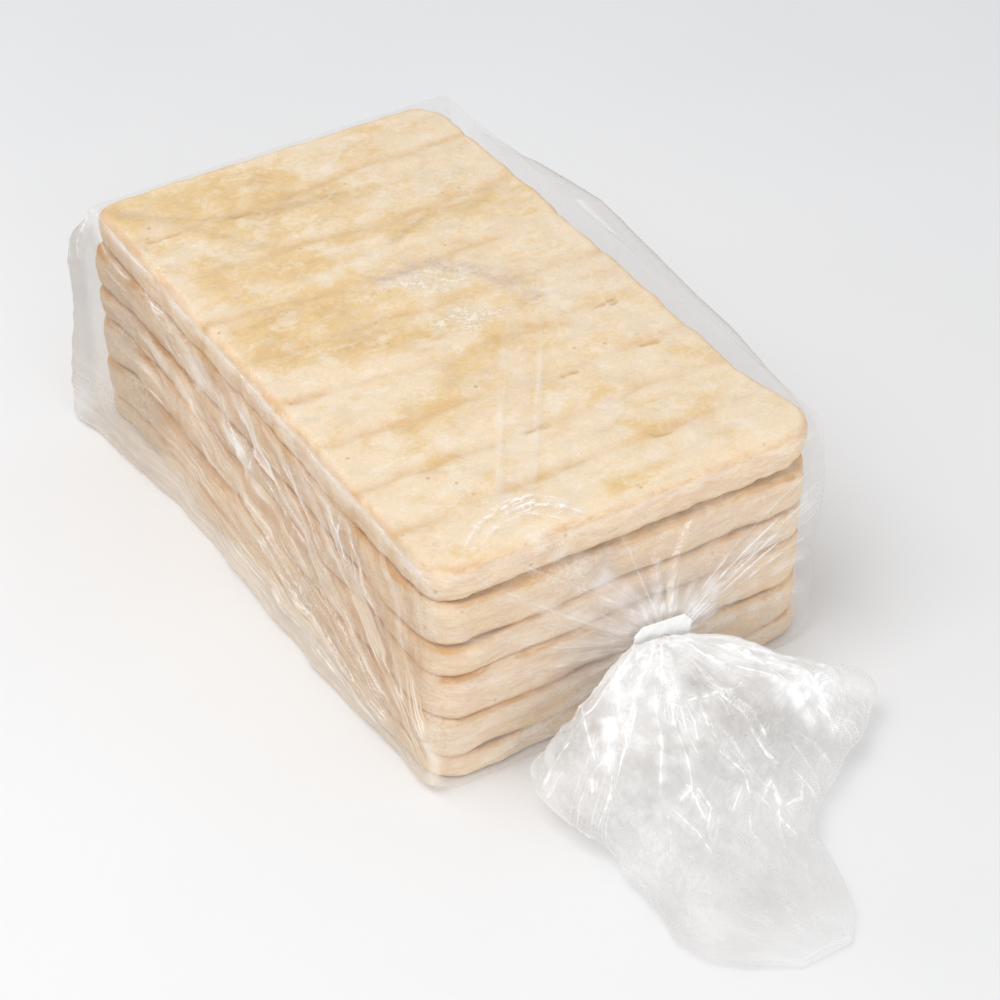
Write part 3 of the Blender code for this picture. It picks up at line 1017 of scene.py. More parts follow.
@dataclass
class BreadStack:
    """Six sheets of breadsticks, one on another."""

    lift: float = 0.0005
    gap: float = 0.00018
    width_spread: float = 0.06
    shift: float = 0.00084
    top_middle: Pair = (-0.0024, 0.0002)
    paleness: tuple[float, ...] = (0.25, 0.4, 0.15, 0.0, 0.0, 0.0)
    seed: int = 7

    def uneven_seams(self, rng: np.random.Generator) -> Array:
        """Lays out the seams of a lower sheet, from finger widths that differ a little.

        Args:
            rng: gives the differences.

        Returns:
            Each seam's y at the left edge, the middle and the right.
        """
        spread = rng.uniform(-self.width_spread, self.width_spread, len(FINGER_WIDTHS))
        widths = np.array(FINGER_WIDTHS) * (1 + spread)
        widths *= SHEET_LENGTH / widths.sum()
        middles = FRONT + np.cumsum(widths)[:-1]
        return middles[:, None] + rng.uniform(-0.002, 0.002, (len(middles), 3))

    def build(self) -> list[Piece]:
        """Builds the six sheets from the table up.

        Returns:
            The sheets' objects.
        """
        rng = np.random.default_rng(self.seed)
        scale = (STACK_HEIGHT - self.lift) / sum(SHEET_THICKNESSES)
        levels = self.lift + np.concatenate([[0], np.cumsum(SHEET_THICKNESSES)]) * scale
        material = CrustFinish().build()
        pieces = []
        for number, paleness in enumerate(self.paleness):
            reach = (levels[number] + self.gap / 2, levels[number + 1] - self.gap / 2)
            if number == TOP_NUMBER:
                seams = np.array(TOP_SEAMS_MM) * MM
                sheet = TopSheet(number, *reach, seams, self.top_middle, paleness)
            else:
                middle = tuple(rng.uniform(-self.shift, self.shift, 2))
                sheet = BreadSheet(number, *reach, self.uneven_seams(rng), middle, paleness)
            piece = sheet.build()
            piece.data.materials.append(material)
            pieces.append(piece)
        return pieces


# ---------------------------------------------------------------- film


@dataclass(frozen=True)
class Fold:
    """A fold in the film: a ridge along a path on one face of the pack, in mm.

    Its whiteness is a painted highlight. The band is how white the whole width is, against the
    line along the ridge.
    """

    side: Side
    path: tuple[Pair, ...]
    width: float
    height: float
    white: float = 0.6
    band: float = 0.28


# For each face: the two axes that a path is in, the axis that looks out of it, and which way.
FACE_AXES = {
    Side.TOP: ((0, 1), 2, 1),
    Side.FRONT: ((0, 2), 1, -1),
    Side.LEFT: ((1, 2), 0, -1),
    Side.TAIL: ((0, 1), 2, 1),
}

# The placed folds, by face: the path's corners in mm, width and height in mm, and the painted
# highlight (whiteness) of the line and, where it isn't the usual one, of the band. A path is in x
# and z on the front, in y and z on the left, and in x and y on the top and on the tail.
FOLD_ROWS_MM = {
    Side.FRONT: (
        ((4, 58, -16, 80, -36, 102, -50, 118), 7, 2, 0.36, 1),
        ((2, 58, -24, 80, -46, 98, -62, 112), 3, 1.2, 0.3, 0.6),
        ((4, 56, -4, 84, -9, 102), 3.2, 1.4, 0.36, 0.5), ((7, 58, 5, 78, 12, 96), 3.4, 1.2, 0.3, 0.7),
        ((8, 56, 16, 80, 30, 104), 3.6, 1.2, 0.2, 0.6), ((16, 52, 50, 65, 92, 80), 10, 1, 0.36, 1),
        ((14, 52, 48, 68, 92, 87), 2, 1.6, 0.6, 0.3), ((14, 50, 50, 62, 92, 77), 2, 1.5, 0.62, 0.3),
        ((14, 51, 50, 65, 92, 82), 1.6, 1.2, 0.5, 0.3), ((12, 54, 44, 74, 88, 96), 2.2, 1.3, 0.36, 0.4),
        ((14, 48, 52, 58, 92, 70), 2, 1.4, 0.62, 0.3), ((14, 47, 54, 53, 92, 61), 2.8, 1.4, 0.45, 0.5),
        ((14, 45, 54, 46, 92, 50), 4.6, 1.3, 0.3, 0.8), ((12, 42, 50, 34, 90, 30), 4, 1.4, 0.28, 0.7),
        ((12, 38, 44, 22, 76, 10), 3.2, 1.4, 0.28, 0.6),
        ((-8, 52, -40, 60, -64, 72, -90, 84), 4.4, 1.4, 0.28, 0.6),
        ((-8, 54, -38, 76, -68, 101, -76, 110), 4, 1.4, 0.26, 0.6),
        ((-8, 50, -50, 50, -92, 56), 3.6, 1.2, 0.26, 0.6),
        ((-8, 46, -48, 34, -90, 26), 4.4, 1.4, 0.28, 0.6),
        ((-8, 42, -44, 20, -76, 8), 4, 1.4, 0.28, 0.6), ((-4, 38, -20, 18, -34, 4), 4, 1.4, 0.3, 0.6),
        ((6, 38, 18, 20, 30, 4), 4, 1.4, 0.3, 0.6),
    ),
    Side.TOP: (
        # A painted highlight: the glint on the ridge of the loose fold on the right.
        ((102, 50, 100, 28, 96, -6), 4.5, 0.4, 0.5, 0.3),
        ((98, 80, 102, 60, 105, 50), 2.2, 0.5, 0.35, 0.5),
        ((98, 0, 97, -50, 96, -110), 3.2, 0.4, 0.18, 0.9),
        ((95, 126, 100, 90, 107, 52), 1.6, 0.4, 0.3, 0.4),
        ((-72, -141, -61, -132, -50, -129), 2.6, 0.4, 0.55, 0.3),
        ((-50, -132, -37, -131, -27, -138, -20, -150), 3.6, 0.5, 0.7, 0.4),
        ((-52, -135, -40, -136, -30, -146), 2.6, 0.3, 0.5, 0.3),
        ((-56, -128, -42, -125, -32, -128, -24, -136), 2.6, 0.3, 0.5, 0.2),
        ((-46, -134, -34, -134, -25, -142), 2.6, 0.2, 0.6, 0.2),
        ((-64, -136, -56, -130, -46, -127), 2.6, 0.2, 0.5, 0.2),
        ((-66, -143, -56, -137, -46, -140), 2.6, 0.3, 0.4, 0.3),
        ((-48, -129, -40, -127, -33, -130), 2, 0.7, 0.6),
        ((-38, -130, -6, -86, 24, -44, 42, -10), 1.6, 0.3, 0.1, 0.4),
        ((-48, -124, -16, -78, 10, -38, 28, -12), 1.6, 0.3, 0.1, 0.4),
        ((-30, -60, -14, -30, -4, 0), 4, 0.4, 0.1, 0.7), ((40, -150, 56, -128, 74, -112), 4, 0.6, 0.14),
        ((-86, 142, -72, 118, -50, 94, -30, 74), 3.4, 0.7, 0.12),
        ((-88, -120, -60, -132, -40, -146), 3.4, 0.7, 0.14), ((-84, 60, -84, 0, -86, -60), 5, 0.3, 0.1),
    ),
    Side.LEFT: (
        ((-44, 108, -75, 97, -113, 70, -135, 45, -150, 24), 3.4, 1.8, 0.35),
        ((100, 102, 68, 94, 50, 88, 30, 80), 3.2, 1.8, 0.34),
        ((8, 78, -18, 83, -31, 80, -48, 72, -71, 60, -99, 44), 2.8, 1.8, 0.3),
        ((0, 92, -8, 74, -4, 60), 2.6, 1.6, 0.5), ((-91, 104, -102, 88, -108, 74), 2.4, 1.6, 0.55),
        ((-86, 100, -84, 88, -92, 80), 2.2, 1.4, 0.6), ((-115, 51, -142, 35, -150, 18), 2.4, 1.5, 0.45),
        ((147, 109, 143, 101, 138, 92), 3, 0.8, 0.5, 0.6),
        ((149, 103, 146, 92, 146, 78), 1.8, 0.6, 0.45, 0.4),
        ((138, 108, 110, 101, 84, 97), 2.6, 1, 0.4, 0.5),
        ((92, 104, 80, 99, 72, 100, 62, 95), 2.4, 1, 0.6, 0.6),
        ((16, 84, -6, 66, -22, 60), 5, 1.2, 0.3, 0.9), ((20, 92, 6, 78, 2, 66), 2, 1.2, 0.55, 0.4),
        ((-10, 80, -26, 70, -40, 66, -54, 60), 2.4, 1.2, 0.5, 0.5),
    ),
    Side.TAIL: (
        ((-4, -170, -8, -176, -22, -186, -35, -198), 3.4, 1.2, 0.6),
        ((-34, -186, -40, -195, -46, -205), 3.8, 1.2, 0.75, 0.55),
        ((-24, -176, -30, -186, -34, -200), 2.6, 1, 0.7, 0.25),
        ((-8, -182, -14, -204, -24, -231), 3, 1, 0.55),
        ((-40, -172, -44, -184, -47, -199), 2.8, 1, 0.5),
        ((-5, -182, -9, -200, -14, -219), 2.6, 0.8, 0.4),
        ((-32, -228, -29, -240, -30, -252), 2.6, 0.8, 0.5), ((-14, -241, -4, -233), 2.4, 0.8, 0.5),
        ((30, -184, 36, -194, 38, -210), 3, 1, 0.6),
        ((33, -198, 37, -208, 43, -222), 4.2, 1.2, 0.7, 0.5),
        ((22, -190, 32, -198, 40, -206), 2.6, 0.8, 0.6, 0.3),
        ((51, -206, 50, -215, 48, -226), 2.8, 0.9, 0.5),
        ((26, -186, 38, -193, 47, -204), 2.8, 0.7, 0.75),
        ((38, -188, 46, -198, 50, -212), 2.8, 0.7, 0.7),
        ((34, -206, 44, -206, 55, -214), 2.8, 0.7, 0.7),
        ((40, -214, 48, -206, 57, -203), 2.8, 0.6, 0.6),
        ((56, -196, 62, -206, 62, -216), 2.8, 0.6, 0.6),
        ((18, -180, 34, -184, 50, -192, 60, -200), 2.8, 0.7, 0.6),
        ((-14, -186, -22, -204, -34, -222), 2.8, 0.8, 0.6),
        ((-6, -196, 3, -198, 14, -200, 22, -197), 3.4, 1.4, 0.5),
        ((-29, -227, -23, -226, -24, -239), 2.4, 0.9, 0.7),
        ((0, -240, 8, -235, 4, -246), 2.4, 0.8, 0.6), ((4, -246, 17, -243, 24, -236), 2.4, 0.8, 0.5),
    ),
}


def placed_folds() -> tuple[Fold, ...]:
    """Reads the table of placed folds.

    Returns:
        The folds, face by face.
    """
    return tuple(
        Fold(side, tuple(zip(path[::2], path[1::2])), *looks)
        for side, rows in FOLD_ROWS_MM.items()
        for path, *looks in rows
    )


def tail_folds(count: int = 64, seed: int = 12) -> tuple[Fold, ...]:
    """Scatters finer folds over the tail, most of them out of the neck.

    Args:
        count: how many.
        seed: starts the random numbers.

    Returns:
        The folds. Each runs from a random distance outwards, bent a little at its middle.
    """
    rng = np.random.default_rng(seed)
    made = []
    for _ in range(count):
        turn = rng.uniform(-2.9, -0.25)
        start = rng.uniform(4, 75)
        ways = start + np.array([0, 0.5, 1.0]) * rng.uniform(10, 42)
        turns = turn + np.array([0, rng.uniform(-0.08, 0.08), 0]) + rng.normal(0, 0.25) * (start > 45)
        path = tuple(zip(ways * np.cos(turns), -170 + ways * np.sin(turns)))
        looks = (rng.uniform(low, high) for low, high in ((1.4, 3.0), (0.2, 0.6), (0.1, 0.5)))
        made.append(Fold(Side.TAIL, path, *looks, 0.12))
    return tuple(made)


def fan_folds(count: int = 30, seed: int = 3) -> tuple[Fold, ...]:
    """Fans long folds over the left side, out of its lower corner by the clip.

    Args:
        count: how many.
        seed: starts the random numbers.

    Returns:
        The folds. Each is a slightly bent line, from a random distance to a farther one.
    """
    rng = np.random.default_rng(seed)
    made = []
    for share in np.linspace(0.04, 0.92, count):
        slope = 0.06 + 0.80 * share**1.3 + rng.uniform(-0.03, 0.03)
        start = rng.uniform(12, 90)
        end = start + rng.uniform(50, 150) * (1.15 - 0.75 * share)
        bend = rng.uniform(-4, 4)
        ways = np.array([start, (start + end) / 2, end])
        heights = 8 + ways * slope + np.array([0, bend, 0])
        path = tuple((w - 156, h) for w, h in zip(ways, heights) if h < 108)
        if len(path) > 1:
            looks = (rng.uniform(low, high) for low, high in ((1.8, 3.4), (0.8, 1.7), (0.12, 0.5)))
            made.append(Fold(Side.LEFT, path, *looks))
    return tuple(made)


@dataclass
class FilmBag:
    """The clear bag: body, gathered mouth and crumpled tail, as one run of rings.

    The tent gives how far the loose fold on the right stands off at places along the pack. The
    tail's rings each give y, the middle in x, half the width, and the lowest and highest z. Its
    veil goes by the distance from the neck. Its highlights and shades are spots of painted light
    and painted shade; a spot has x, y, size and strength.
    """

    around: int = 400
    film_half: float = SIDE + 0.0013
    top: float = STACK_HEIGHT + 0.0010
    table_gap: float = 0.00025
    far: float = -FRONT + 0.0012
    near: float = FRONT - 0.0016
    edge: float = 0.0042
    near_round: Triple = (0.011, 0.011, 0.0050)
    far_round: Triple = (0.004, 0.015, 0.0055)
    far_bulge: float = 0.006
    body_pitch: float = 0.0014
    mouth_rows: int = 120
    tail_pitch: float = 0.00088
    tent: tuple[Pair, ...] = (
        (-0.141, 0.0012), (-0.126, 0.0055), (-0.090, 0.0108), (-0.040, 0.0150),
        (0.008, 0.0180), (0.049, 0.0218), (0.092, 0.0130), (0.128, 0.0015), (0.150, 0.0),
    )
    ear_reach: float = 0.0168
    ear_lean: float = 0.008
    ear_top: float = 0.100
    ear_lengths: Pair = (0.085, 0.050)
    ear_tip: float = -FRONT - 0.0030
    tail_rings: tuple[tuple[float, ...], ...] = (
        (-0.1705, 0.002, 0.0045, 0.0455, 0.0545), (-0.1720, -0.002, 0.019, 0.034, 0.0565),
        (-0.1740, -0.007, 0.038, 0.018, 0.0570), (-0.1785, -0.006, 0.055, 0.007, 0.055),
        (-0.1850, -0.001, 0.064, 0.003, 0.051),
        (-0.1940, 0.007, 0.071, 0.001, 0.046), (-0.2040, 0.010, 0.073, 0.001, 0.042),
        (-0.2140, 0.008, 0.067, 0.001, 0.038), (-0.2250, 0.001, 0.056, 0.001, 0.033),
        (-0.2370, -0.010, 0.044, 0.001, 0.028), (-0.2500, -0.018, 0.037, 0.001, 0.024),
        (-0.2640, -0.020, 0.037, 0.001, 0.020), (-0.2780, -0.020, 0.034, 0.001, 0.016),
        (-0.2900, -0.015, 0.025, 0.001, 0.012), (-0.2995, -0.011, 0.012, 0.001, 0.006),
    )
    tail_veil: tuple[tuple[float, ...], tuple[float, ...]] = (
        (0.004, 0.020, 0.045, 0.065, 0.090, 0.130),
        (0.96, 0.90, 0.54, 0.35, 0.27, 0.18),
    )
    tail_shades: tuple[Spot, ...] = (
        (0.003, -0.193, 0.007, 1.0), (-0.050, -0.178, 0.016, 0.5), (0.014, -0.215, 0.020, 0.45),
        (0.020, -0.205, 0.012, 0.4), (-0.030, -0.270, 0.020, 0.35),
    )
    tail_highlights: tuple[Spot, ...] = (
        (0.050, -0.212, 0.014, 0.35), (0.046, -0.190, 0.010, 0.30), (-0.019, -0.160, 0.006, 0.30),
        (-0.030, -0.200, 0.006, 0.25),
    )
    tail_skirt: float = 0.22
    tail_smoothing: int = 17
    tip_rows: int = 8
    calmed_rows: int = 12
    round_rows: int = 10
    end_rows: int = 45
    neck_rows: int = 4
    mouth_cut: float = FRONT + 0.028
    fan_corner: Pair = (-0.160, 0.004)
    flare: float = 0.0055
    line_reach: float = 0.0026
    least_width: float = 2.6
    no_line: float = 9.0
    folds: tuple[Fold, ...] = field(
        default_factory=lambda: placed_folds() + fan_folds() + tail_folds()
    )

    def directions(self) -> tuple[Array, Array]:
        """Spreads the ring's samples evenly round the pack's rectangle.

        Returns:
            The samples as places on a square of half size 1, shape (n, 2), and their angles.
        """
        half = np.array([self.film_half, STACK_HEIGHT / 2])
        corners = np.array([(1, -1), (1, 1), (-1, 1), (-1, -1), (1, -1)], float)
        lengths = np.linalg.norm(np.diff(corners * half, axis=0), axis=1)
        marks = np.concatenate([[0], np.cumsum(lengths)])
        spots = np.linspace(0, marks[-1], self.around, endpoint=False)
        square = np.stack([np.interp(spots, marks, corners[:, k]) for k in (0, 1)], axis=-1)
        return square, np.arctan2(square[:, 1], square[:, 0])

    def body(self, ys: Array, insets: Array) -> Array:
        """Builds rings round the stack: a rectangle with round edges and two loose folds.

        The right side stands off in a tent whose ridge runs near the top edge, and the far left
        corner draws out into an ear that leans in towards its top.

        Args:
            ys: each ring's place along the pack.
            insets: how far each ring draws in at the left, the right and the top.

        Returns:
            Points, shape (rings, around, 3).
        """
        square, _ = self.directions()
        middle = (self.top + self.table_gap) / 2
        half = np.array([self.film_half, (self.top - self.table_gap) / 2])
        flat = square * half
        over = np.abs(flat) - (half - self.edge)
        both = np.all(over > 0, axis=-1)
        pull = np.max(over, axis=-1) / np.maximum(np.hypot(over[:, 0], over[:, 1]), 1e-9)
        rounded = np.sign(flat) * (half - self.edge + over * pull[:, None])
        flat = np.where(both[:, None], rounded, flat)
        x = np.broadcast_to(flat[:, 0], (len(ys), self.around)).copy()
        z = np.broadcast_to(flat[:, 1] + middle, x.shape).copy()
        y = np.broadcast_to(ys[:, None], x.shape).copy()
        ridge = STACK_HEIGHT - 0.012
        stand = np.interp(ys, *np.array(self.tent).T)
        heights = [0.001, ridge - 0.004, ridge, STACK_HEIGHT - 0.004, STACK_HEIGHT]
        share = np.interp(z, heights, [0.25, 0.94, 1.0, 0.12, 0])
        right = ramp(SIDE - 0.014, SIDE, x)
        x += right * share * stand[:, None]
        reach = self.ear_reach - self.ear_lean * np.clip(z / self.ear_top, 0, 1)
        reach *= 1 - ramp(self.ear_top - 0.002, STACK_HEIGHT - 0.001, z)
        spread = np.interp(z, [0, self.ear_top], self.ear_lengths)
        ear = np.clip((y - self.ear_tip + spread) / spread, 0, 1)
        x -= ramp(-SIDE + 0.010, -SIDE, x) * reach * ear
        flare = np.exp(-z / 0.020) * ramp(-0.145, -0.06, y) * ramp(0.15, 0.06, y)
        x -= ramp(-SIDE + 0.010, -SIDE, x) * self.flare * flare
        x *= 1 - np.where(x < 0, insets[:, :1], insets[:, 1:2]) / self.film_half
        z = self.table_gap + (z - self.table_gap) * (1 - insets[:, 2:3] / self.top)
        return np.stack([x, y, z], axis=-1)

    def far_end(self, first: Array) -> Array:
        """Closes the far end: rings that shrink to a point on a slightly bulging face.

        Args:
            first: the body's last ring, which the face joins.

        Returns:
            Rings from the point outwards.
        """
        shares = np.linspace(0.004, 1, self.end_rows + 1)[:-1]
        centre = np.array([0.0, self.far + 0.0012, STACK_HEIGHT / 2])
        rings = centre + (first - centre) * shares[:, None, None]
        rings[..., 1] = first[:, 1] + (centre[1] - first[:, 1]) * (1 - shares[:, None] ** 3)
        return rings

    def mouth(self, rim: Array) -> Array:
        """Gathers the film from the front's rim to the neck.

        A ring's points go straight from the rim to a small circle at the neck, while the ring
        moves forward slowly at first. Pleats run along the way, as ridges of uneven size.

        Args:
            rim: the ring where the flat front begins.

        Returns:
            Rings from just inside the rim to the neck's end.
        """
        _, angles = self.directions()
        ways = np.linspace(0, 1, self.mouth_rows)[1:]
        gathered = 1 - (1 - ways) ** 1.15
        pleats = 1 + 0.05 * self.pleating(angles, Seed.MOUTH_PLEATS) * ramp(0.3, 1.0, ways)[:, None]
        circle = np.stack([np.cos(angles), np.zeros_like(angles), np.sin(angles)], axis=-1)
        ring = NECK_PLACE + circle * NECK_RADIUS
        rings = rim + (ring - rim) * gathered[:, None, None]
        spread = rings - NECK_PLACE
        spread[..., 1] = 0
        rings = rings + spread * (pleats[..., None] - 1) * 0.6
        forward = rim[:, 1].mean() + (NECK_START - rim[:, 1].mean()) * ways**1.5
        rings[..., 1] = forward[:, None]
        along = np.zeros((self.neck_rows, 1, 3))
        along[:, 0, 1] = -NECK_LENGTH * np.arange(1, self.neck_rows + 1) / self.neck_rows
        return np.concatenate([rings, ring + along])

    def pleating(self, angles: Array, seed: int) -> Array:
        """Gives the pleats round a ring: triangle waves of 7 to 41 turns, weaker as they narrow.

        Args:
            angles: the ring's angles.
            seed: starts the random numbers.

        Returns:
            About -1 to 1 at each angle.
        """
        rng = np.random.default_rng(seed)
        total = np.zeros(angles.shape)
        for turns in (7, 11, 17, 25, 41):
            wave = np.abs((angles * turns / TAU + rng.uniform()) % 1 - 0.5) * 4 - 1
            total += wave * (7 / turns) ** 0.6 * rng.uniform(0.6, 1.0)
        return total / 2.0

    def tail(self) -> Array:
        """Builds the tail's rings from its stations, resampled evenly along the film.

        A ring is a flattened loop. Its top half rises with the sine of the angle and its lower
        half lies almost flat on the table.

        Returns:
            Rings from the neck to the tip.
        """
        _, angles = self.directions()
        stations = np.array(self.tail_rings)
        steps = np.hypot(np.diff(stations[:, 0]), np.diff(stations[:, 2]))
        marks = np.concatenate([[0], np.cumsum(steps)])
        count = int(marks[-1] / self.tail_pitch)
        spots = np.linspace(0, marks[-1], count)
        run = np.stack([np.interp(spots, marks, stations[:, k]) for k in range(5)], axis=-1)
        kernel = np.hanning(self.tail_smoothing) / np.hanning(self.tail_smoothing).sum()
        beyond = self.tail_smoothing // 2
        padded = np.pad(run, ((beyond, beyond), (0, 0)), mode="reflect", reflect_type="odd")
        run = np.stack([np.convolve(column, kernel, "valid") for column in padded.T], axis=-1)
        y, centre, half, low, high = (run[:, k, None] for k in range(5))
        up = np.sin(angles)[None, :]
        skirt = self.tail_skirt
        share = np.where(up > 0, skirt + (1 - skirt) * up, skirt * (1 + up))
        begun = ramp(0, 0.012, spots)[:, None]
        share = share * begun + (0.5 + 0.5 * up) * (1 - begun)
        x = centre + half * np.cos(angles)[None, :]
        z = low + (high - low) * share
        return np.stack([x, np.broadcast_to(y, x.shape), z], axis=-1)

    def raise_folds(self, grid: Array, normals: Array, tail: bool) -> tuple[Array, Marks]:
        """Raises each placed fold as a ridge with straight flanks.

        A fold's line is too fine for the points, so they carry the signed distance to it, and
        the material draws it as a painted highlight.

        Args:
            grid: the film's points.
            normals: its outward normals.
            tail: whether it is the tail.

        Returns:
            The height to add, and the marks crease_highlight (the band's painted highlight), ridge
            (mm from the nearest line) and line_highlight (that line's painted highlight).
        """
        shape = grid.shape[:-1]
        height, white, line_highlight = np.zeros(shape), np.zeros(shape), np.zeros(shape)
        nearest = np.full(shape, self.line_reach)
        ridge = np.full(shape, self.no_line)
        for fold in self.folds:
            if (fold.side is Side.TAIL) != tail:
                continue
            plane, axis, sign = FACE_AXES[fold.side]
            facing = ramp(0.0, 0.4, normals[..., axis] * sign)
            away, along, side = line_distance(grid[..., list(plane)], np.array(fold.path) * MM)
            ends = ramp(0, 0.08, along) * ramp(1, 0.85, along)
            flank = np.clip(1 - away / (max(fold.width, self.least_width) * MM), 0, 1)
            height = np.maximum(height, fold.height * MM * flank * facing * (0.3 + 0.7 * ends))
            track = np.stack([along * 0.10, np.full(along.shape, fold.width)], axis=-1)
            uneven = np.clip(0.75 + 0.5 * sine_noise(track, 0.02, Seed.FOLD_LINE), 0.2, 1.3)
            shown = fold.white * uneven * facing * ends
            white = np.maximum(white, fold.band * bell(away, 0.8 * fold.width * MM, 4) * shown)
            closer = (away < nearest) & (facing > 0)
            nearest = np.where(closer, away, nearest)
            ridge = np.where(closer, side * away / MM, ridge)
            line_highlight = np.where(closer, shown, line_highlight)
        return height, {"crease_highlight": white, "ridge": ridge, "line_highlight": line_highlight}

    def crumple_body(self, grid: Array, normals: Array) -> Array:
        """Gives the slack film's own unevenness, outwards only: most on the left, little on top.

        Args:
            grid: the film's points.
            normals: its outward normals.

        Returns:
            The height to add: facets of two sizes and slow noise, weighted by the way it faces.
        """
        left = ramp(0.3, 0.8, -normals[..., 0])
        right = ramp(0.3, 0.8, normals[..., 0])
        up = ramp(0.4, 0.9, normals[..., 2])
        front = ramp(0.3, 0.8, -normals[..., 1])
        slanted = grid @ np.array([[0.2, 0, 0], [0, 0.55, 0.35], [0, -0.35, 1.2]])
        sharp = 0.5 + 0.5 * facet_noise(slanted, 0.030, Seed.BODY_FACETS)
        finer = 0.5 + 0.5 * facet_noise(slanted, 0.011, Seed.BODY_FINE)
        slow = 0.5 + 0.5 * sine_noise(grid, 0.060, Seed.BODY_SLOW)
        height = left * (0.0022 * sharp + 0.0008 * finer)
        height += right * (0.0004 * sharp + 0.0010 * slow)
        height += up * (0.00022 * sharp + 0.00012 * finer)
        height += front * (0.0006 * sharp + 0.0003 * finer)
        return np.clip(height, 0, None)

    def crumple_tail(self, grid: Array, begun: Array) -> Array:
        """Gives the tail's crumples: facets of three sizes, flatter towards the tip.

        Args:
            grid: the film's points.
            begun: how far the crumples have grown, from 0 at the neck to 1.

        Returns:
            The height to add.
        """
        wide = 0.0020 * facet_noise(grid, 0.034, Seed.TAIL_WIDE, 5)
        middle = 0.0006 * facet_noise(grid, 0.013, Seed.TAIL_MIDDLE)
        small = 0.00038 * facet_noise(grid, 0.0058, Seed.TAIL_SMALL)
        calm = 0.45 + 0.55 * ramp(-0.4, 0.8, sine_noise(grid, 0.05, Seed.TAIL_CALM))
        flat = ramp(-0.285, -0.235, grid[..., 1])
        return begun * (wide * (0.3 + 0.7 * flat) + (middle + small) * calm * (0.4 + 0.6 * flat))

    def off_neck(self, grid: Array) -> Array:
        """Measures how far each point is from the neck's axis."""
        return np.hypot(grid[..., 0] - NECK_CENTRE[0], grid[..., 2] - NECK_CENTRE[1])

    def sharpness(self, grid: Array) -> Array:
        """Measures how sharply the film bends: by how far the normals either side differ.

        Args:
            grid: the rings' points.

        Returns:
            From 0 to 1 for each point.
        """
        normals = grid_normals(grid)
        bend = np.zeros(grid.shape[:-1])
        for axis in (0, 1):
            turned = np.linalg.norm(np.roll(normals, -1, axis) - np.roll(normals, 1, axis), axis=-1)
            bend = np.maximum(bend, turned)
        return ramp(0.25, 1.1, bend)

    def whitened(self, crease_highlight: Array, share: float, grid: Array) -> Array:
        """Joins the folds' painted highlight, by its share, with that painted on sharp bends."""
        return np.clip(np.maximum(share * crease_highlight, 0.30 * self.sharpness(grid)), 0, 1)

    def flowing(self, grid: Array, neck_row: int) -> Array:
        """Gives the film's own map: round a circle of radius 1, and metres along from the neck.

        On the body's left side it is a fan instead: the angle at the lower corner by the clip,
        times 8, and a fifth of the distance from that corner.

        Args:
            grid: the rings' points.
            neck_row: the ring where the distance along is 0.

        Returns:
            A place on each point, shape (rings, around, 3).
        """
        _, angles = self.directions()
        steps = np.linalg.norm(np.diff(grid, axis=0), axis=-1).mean(axis=1)
        ways = np.concatenate([[0], np.cumsum(steps)])
        ways = (ways - ways[neck_row])[:, None] * np.ones(self.around)
        flow = np.stack([np.cos(angles) + 0 * ways, np.sin(angles) + 0 * ways, ways], axis=-1)
        if neck_row == 0:
            return flow
        lean = grid[..., 1:] - np.array(self.fan_corner)
        turn, reach = np.arctan2(lean[..., 1], lean[..., 0]), np.linalg.norm(lean, axis=-1)
        fan = np.stack([8 * turn, 0 * ways, 0.2 * reach], axis=-1)
        left = (grid[..., 0] < -SIDE * 0.96) & (grid[..., 1] > FRONT)
        return np.where(left[..., None], fan, flow)

    def gathering(self, grid: Array) -> Array:
        """Says how milky the gathers make the film: it grows with the slack in a ring's length.

        Args:
            grid: the rings' points.

        Returns:
            The veil on each point, from 0 to 0.9.
        """
        rounds = np.linalg.norm(np.roll(grid, -1, axis=1) - grid, axis=-1).sum(axis=1)
        full = 4 * self.film_half + 2 * STACK_HEIGHT
        slack = np.clip(full / np.maximum(rounds, 0.01) - 1.06, 0, None)
        return np.clip(0.15 * slack, 0, 0.9)[:, None] * np.ones(grid.shape[1])

    def cover(self) -> tuple[Array, Marks]:
        """Lays the film from the far end to the neck.

        Returns:
            The rings' points and their marks.
        """
        turn = np.linspace(0, math.pi / 2, self.round_rows)
        far_insets = np.outer(1 - np.cos(turn), self.far_round)
        near_insets = np.outer(1 - np.cos(turn), self.near_round)
        far_ys = self.far - self.far_bulge * (1 - np.sin(turn))
        near_ys = self.near + self.near_round[0] * (1 - np.sin(turn))
        rows = int((far_ys[0] - near_ys[0]) / self.body_pitch)
        straight = np.linspace(far_ys[0], near_ys[0], rows)[1:-1]
        ys = np.concatenate([far_ys[::-1], straight, near_ys])
        insets = np.concatenate([far_insets[::-1], np.zeros((rows - 2, 3)), near_insets])
        body = self.body(ys, insets)
        grid = np.concatenate([self.far_end(body[0]), body, self.mouth(body[-1])])
        normals = grid_normals(grid)
        hold = ramp(NECK_RADIUS * 1.5, 0.016, self.off_neck(grid))
        hold = np.where(grid[..., 1] < self.near + 0.004, hold, 1.0)
        lying = ramp(0.0, 0.006, grid[..., 2])
        height, lines = self.raise_folds(grid, normals, False)
        height = height + self.crumple_body(grid, normals)
        grid = grid + normals * (height * hold * lying)[..., None]
        grid[..., 2] = np.maximum(grid[..., 2], self.table_gap)
        lines["crease_highlight"] = self.whitened(lines["crease_highlight"], 0.85, grid)
        looks = self.clouding(grid, normals) | self.shade_greying(grid, normals)
        return grid, {**lines, **looks, "flow": self.flowing(grid, -1)}

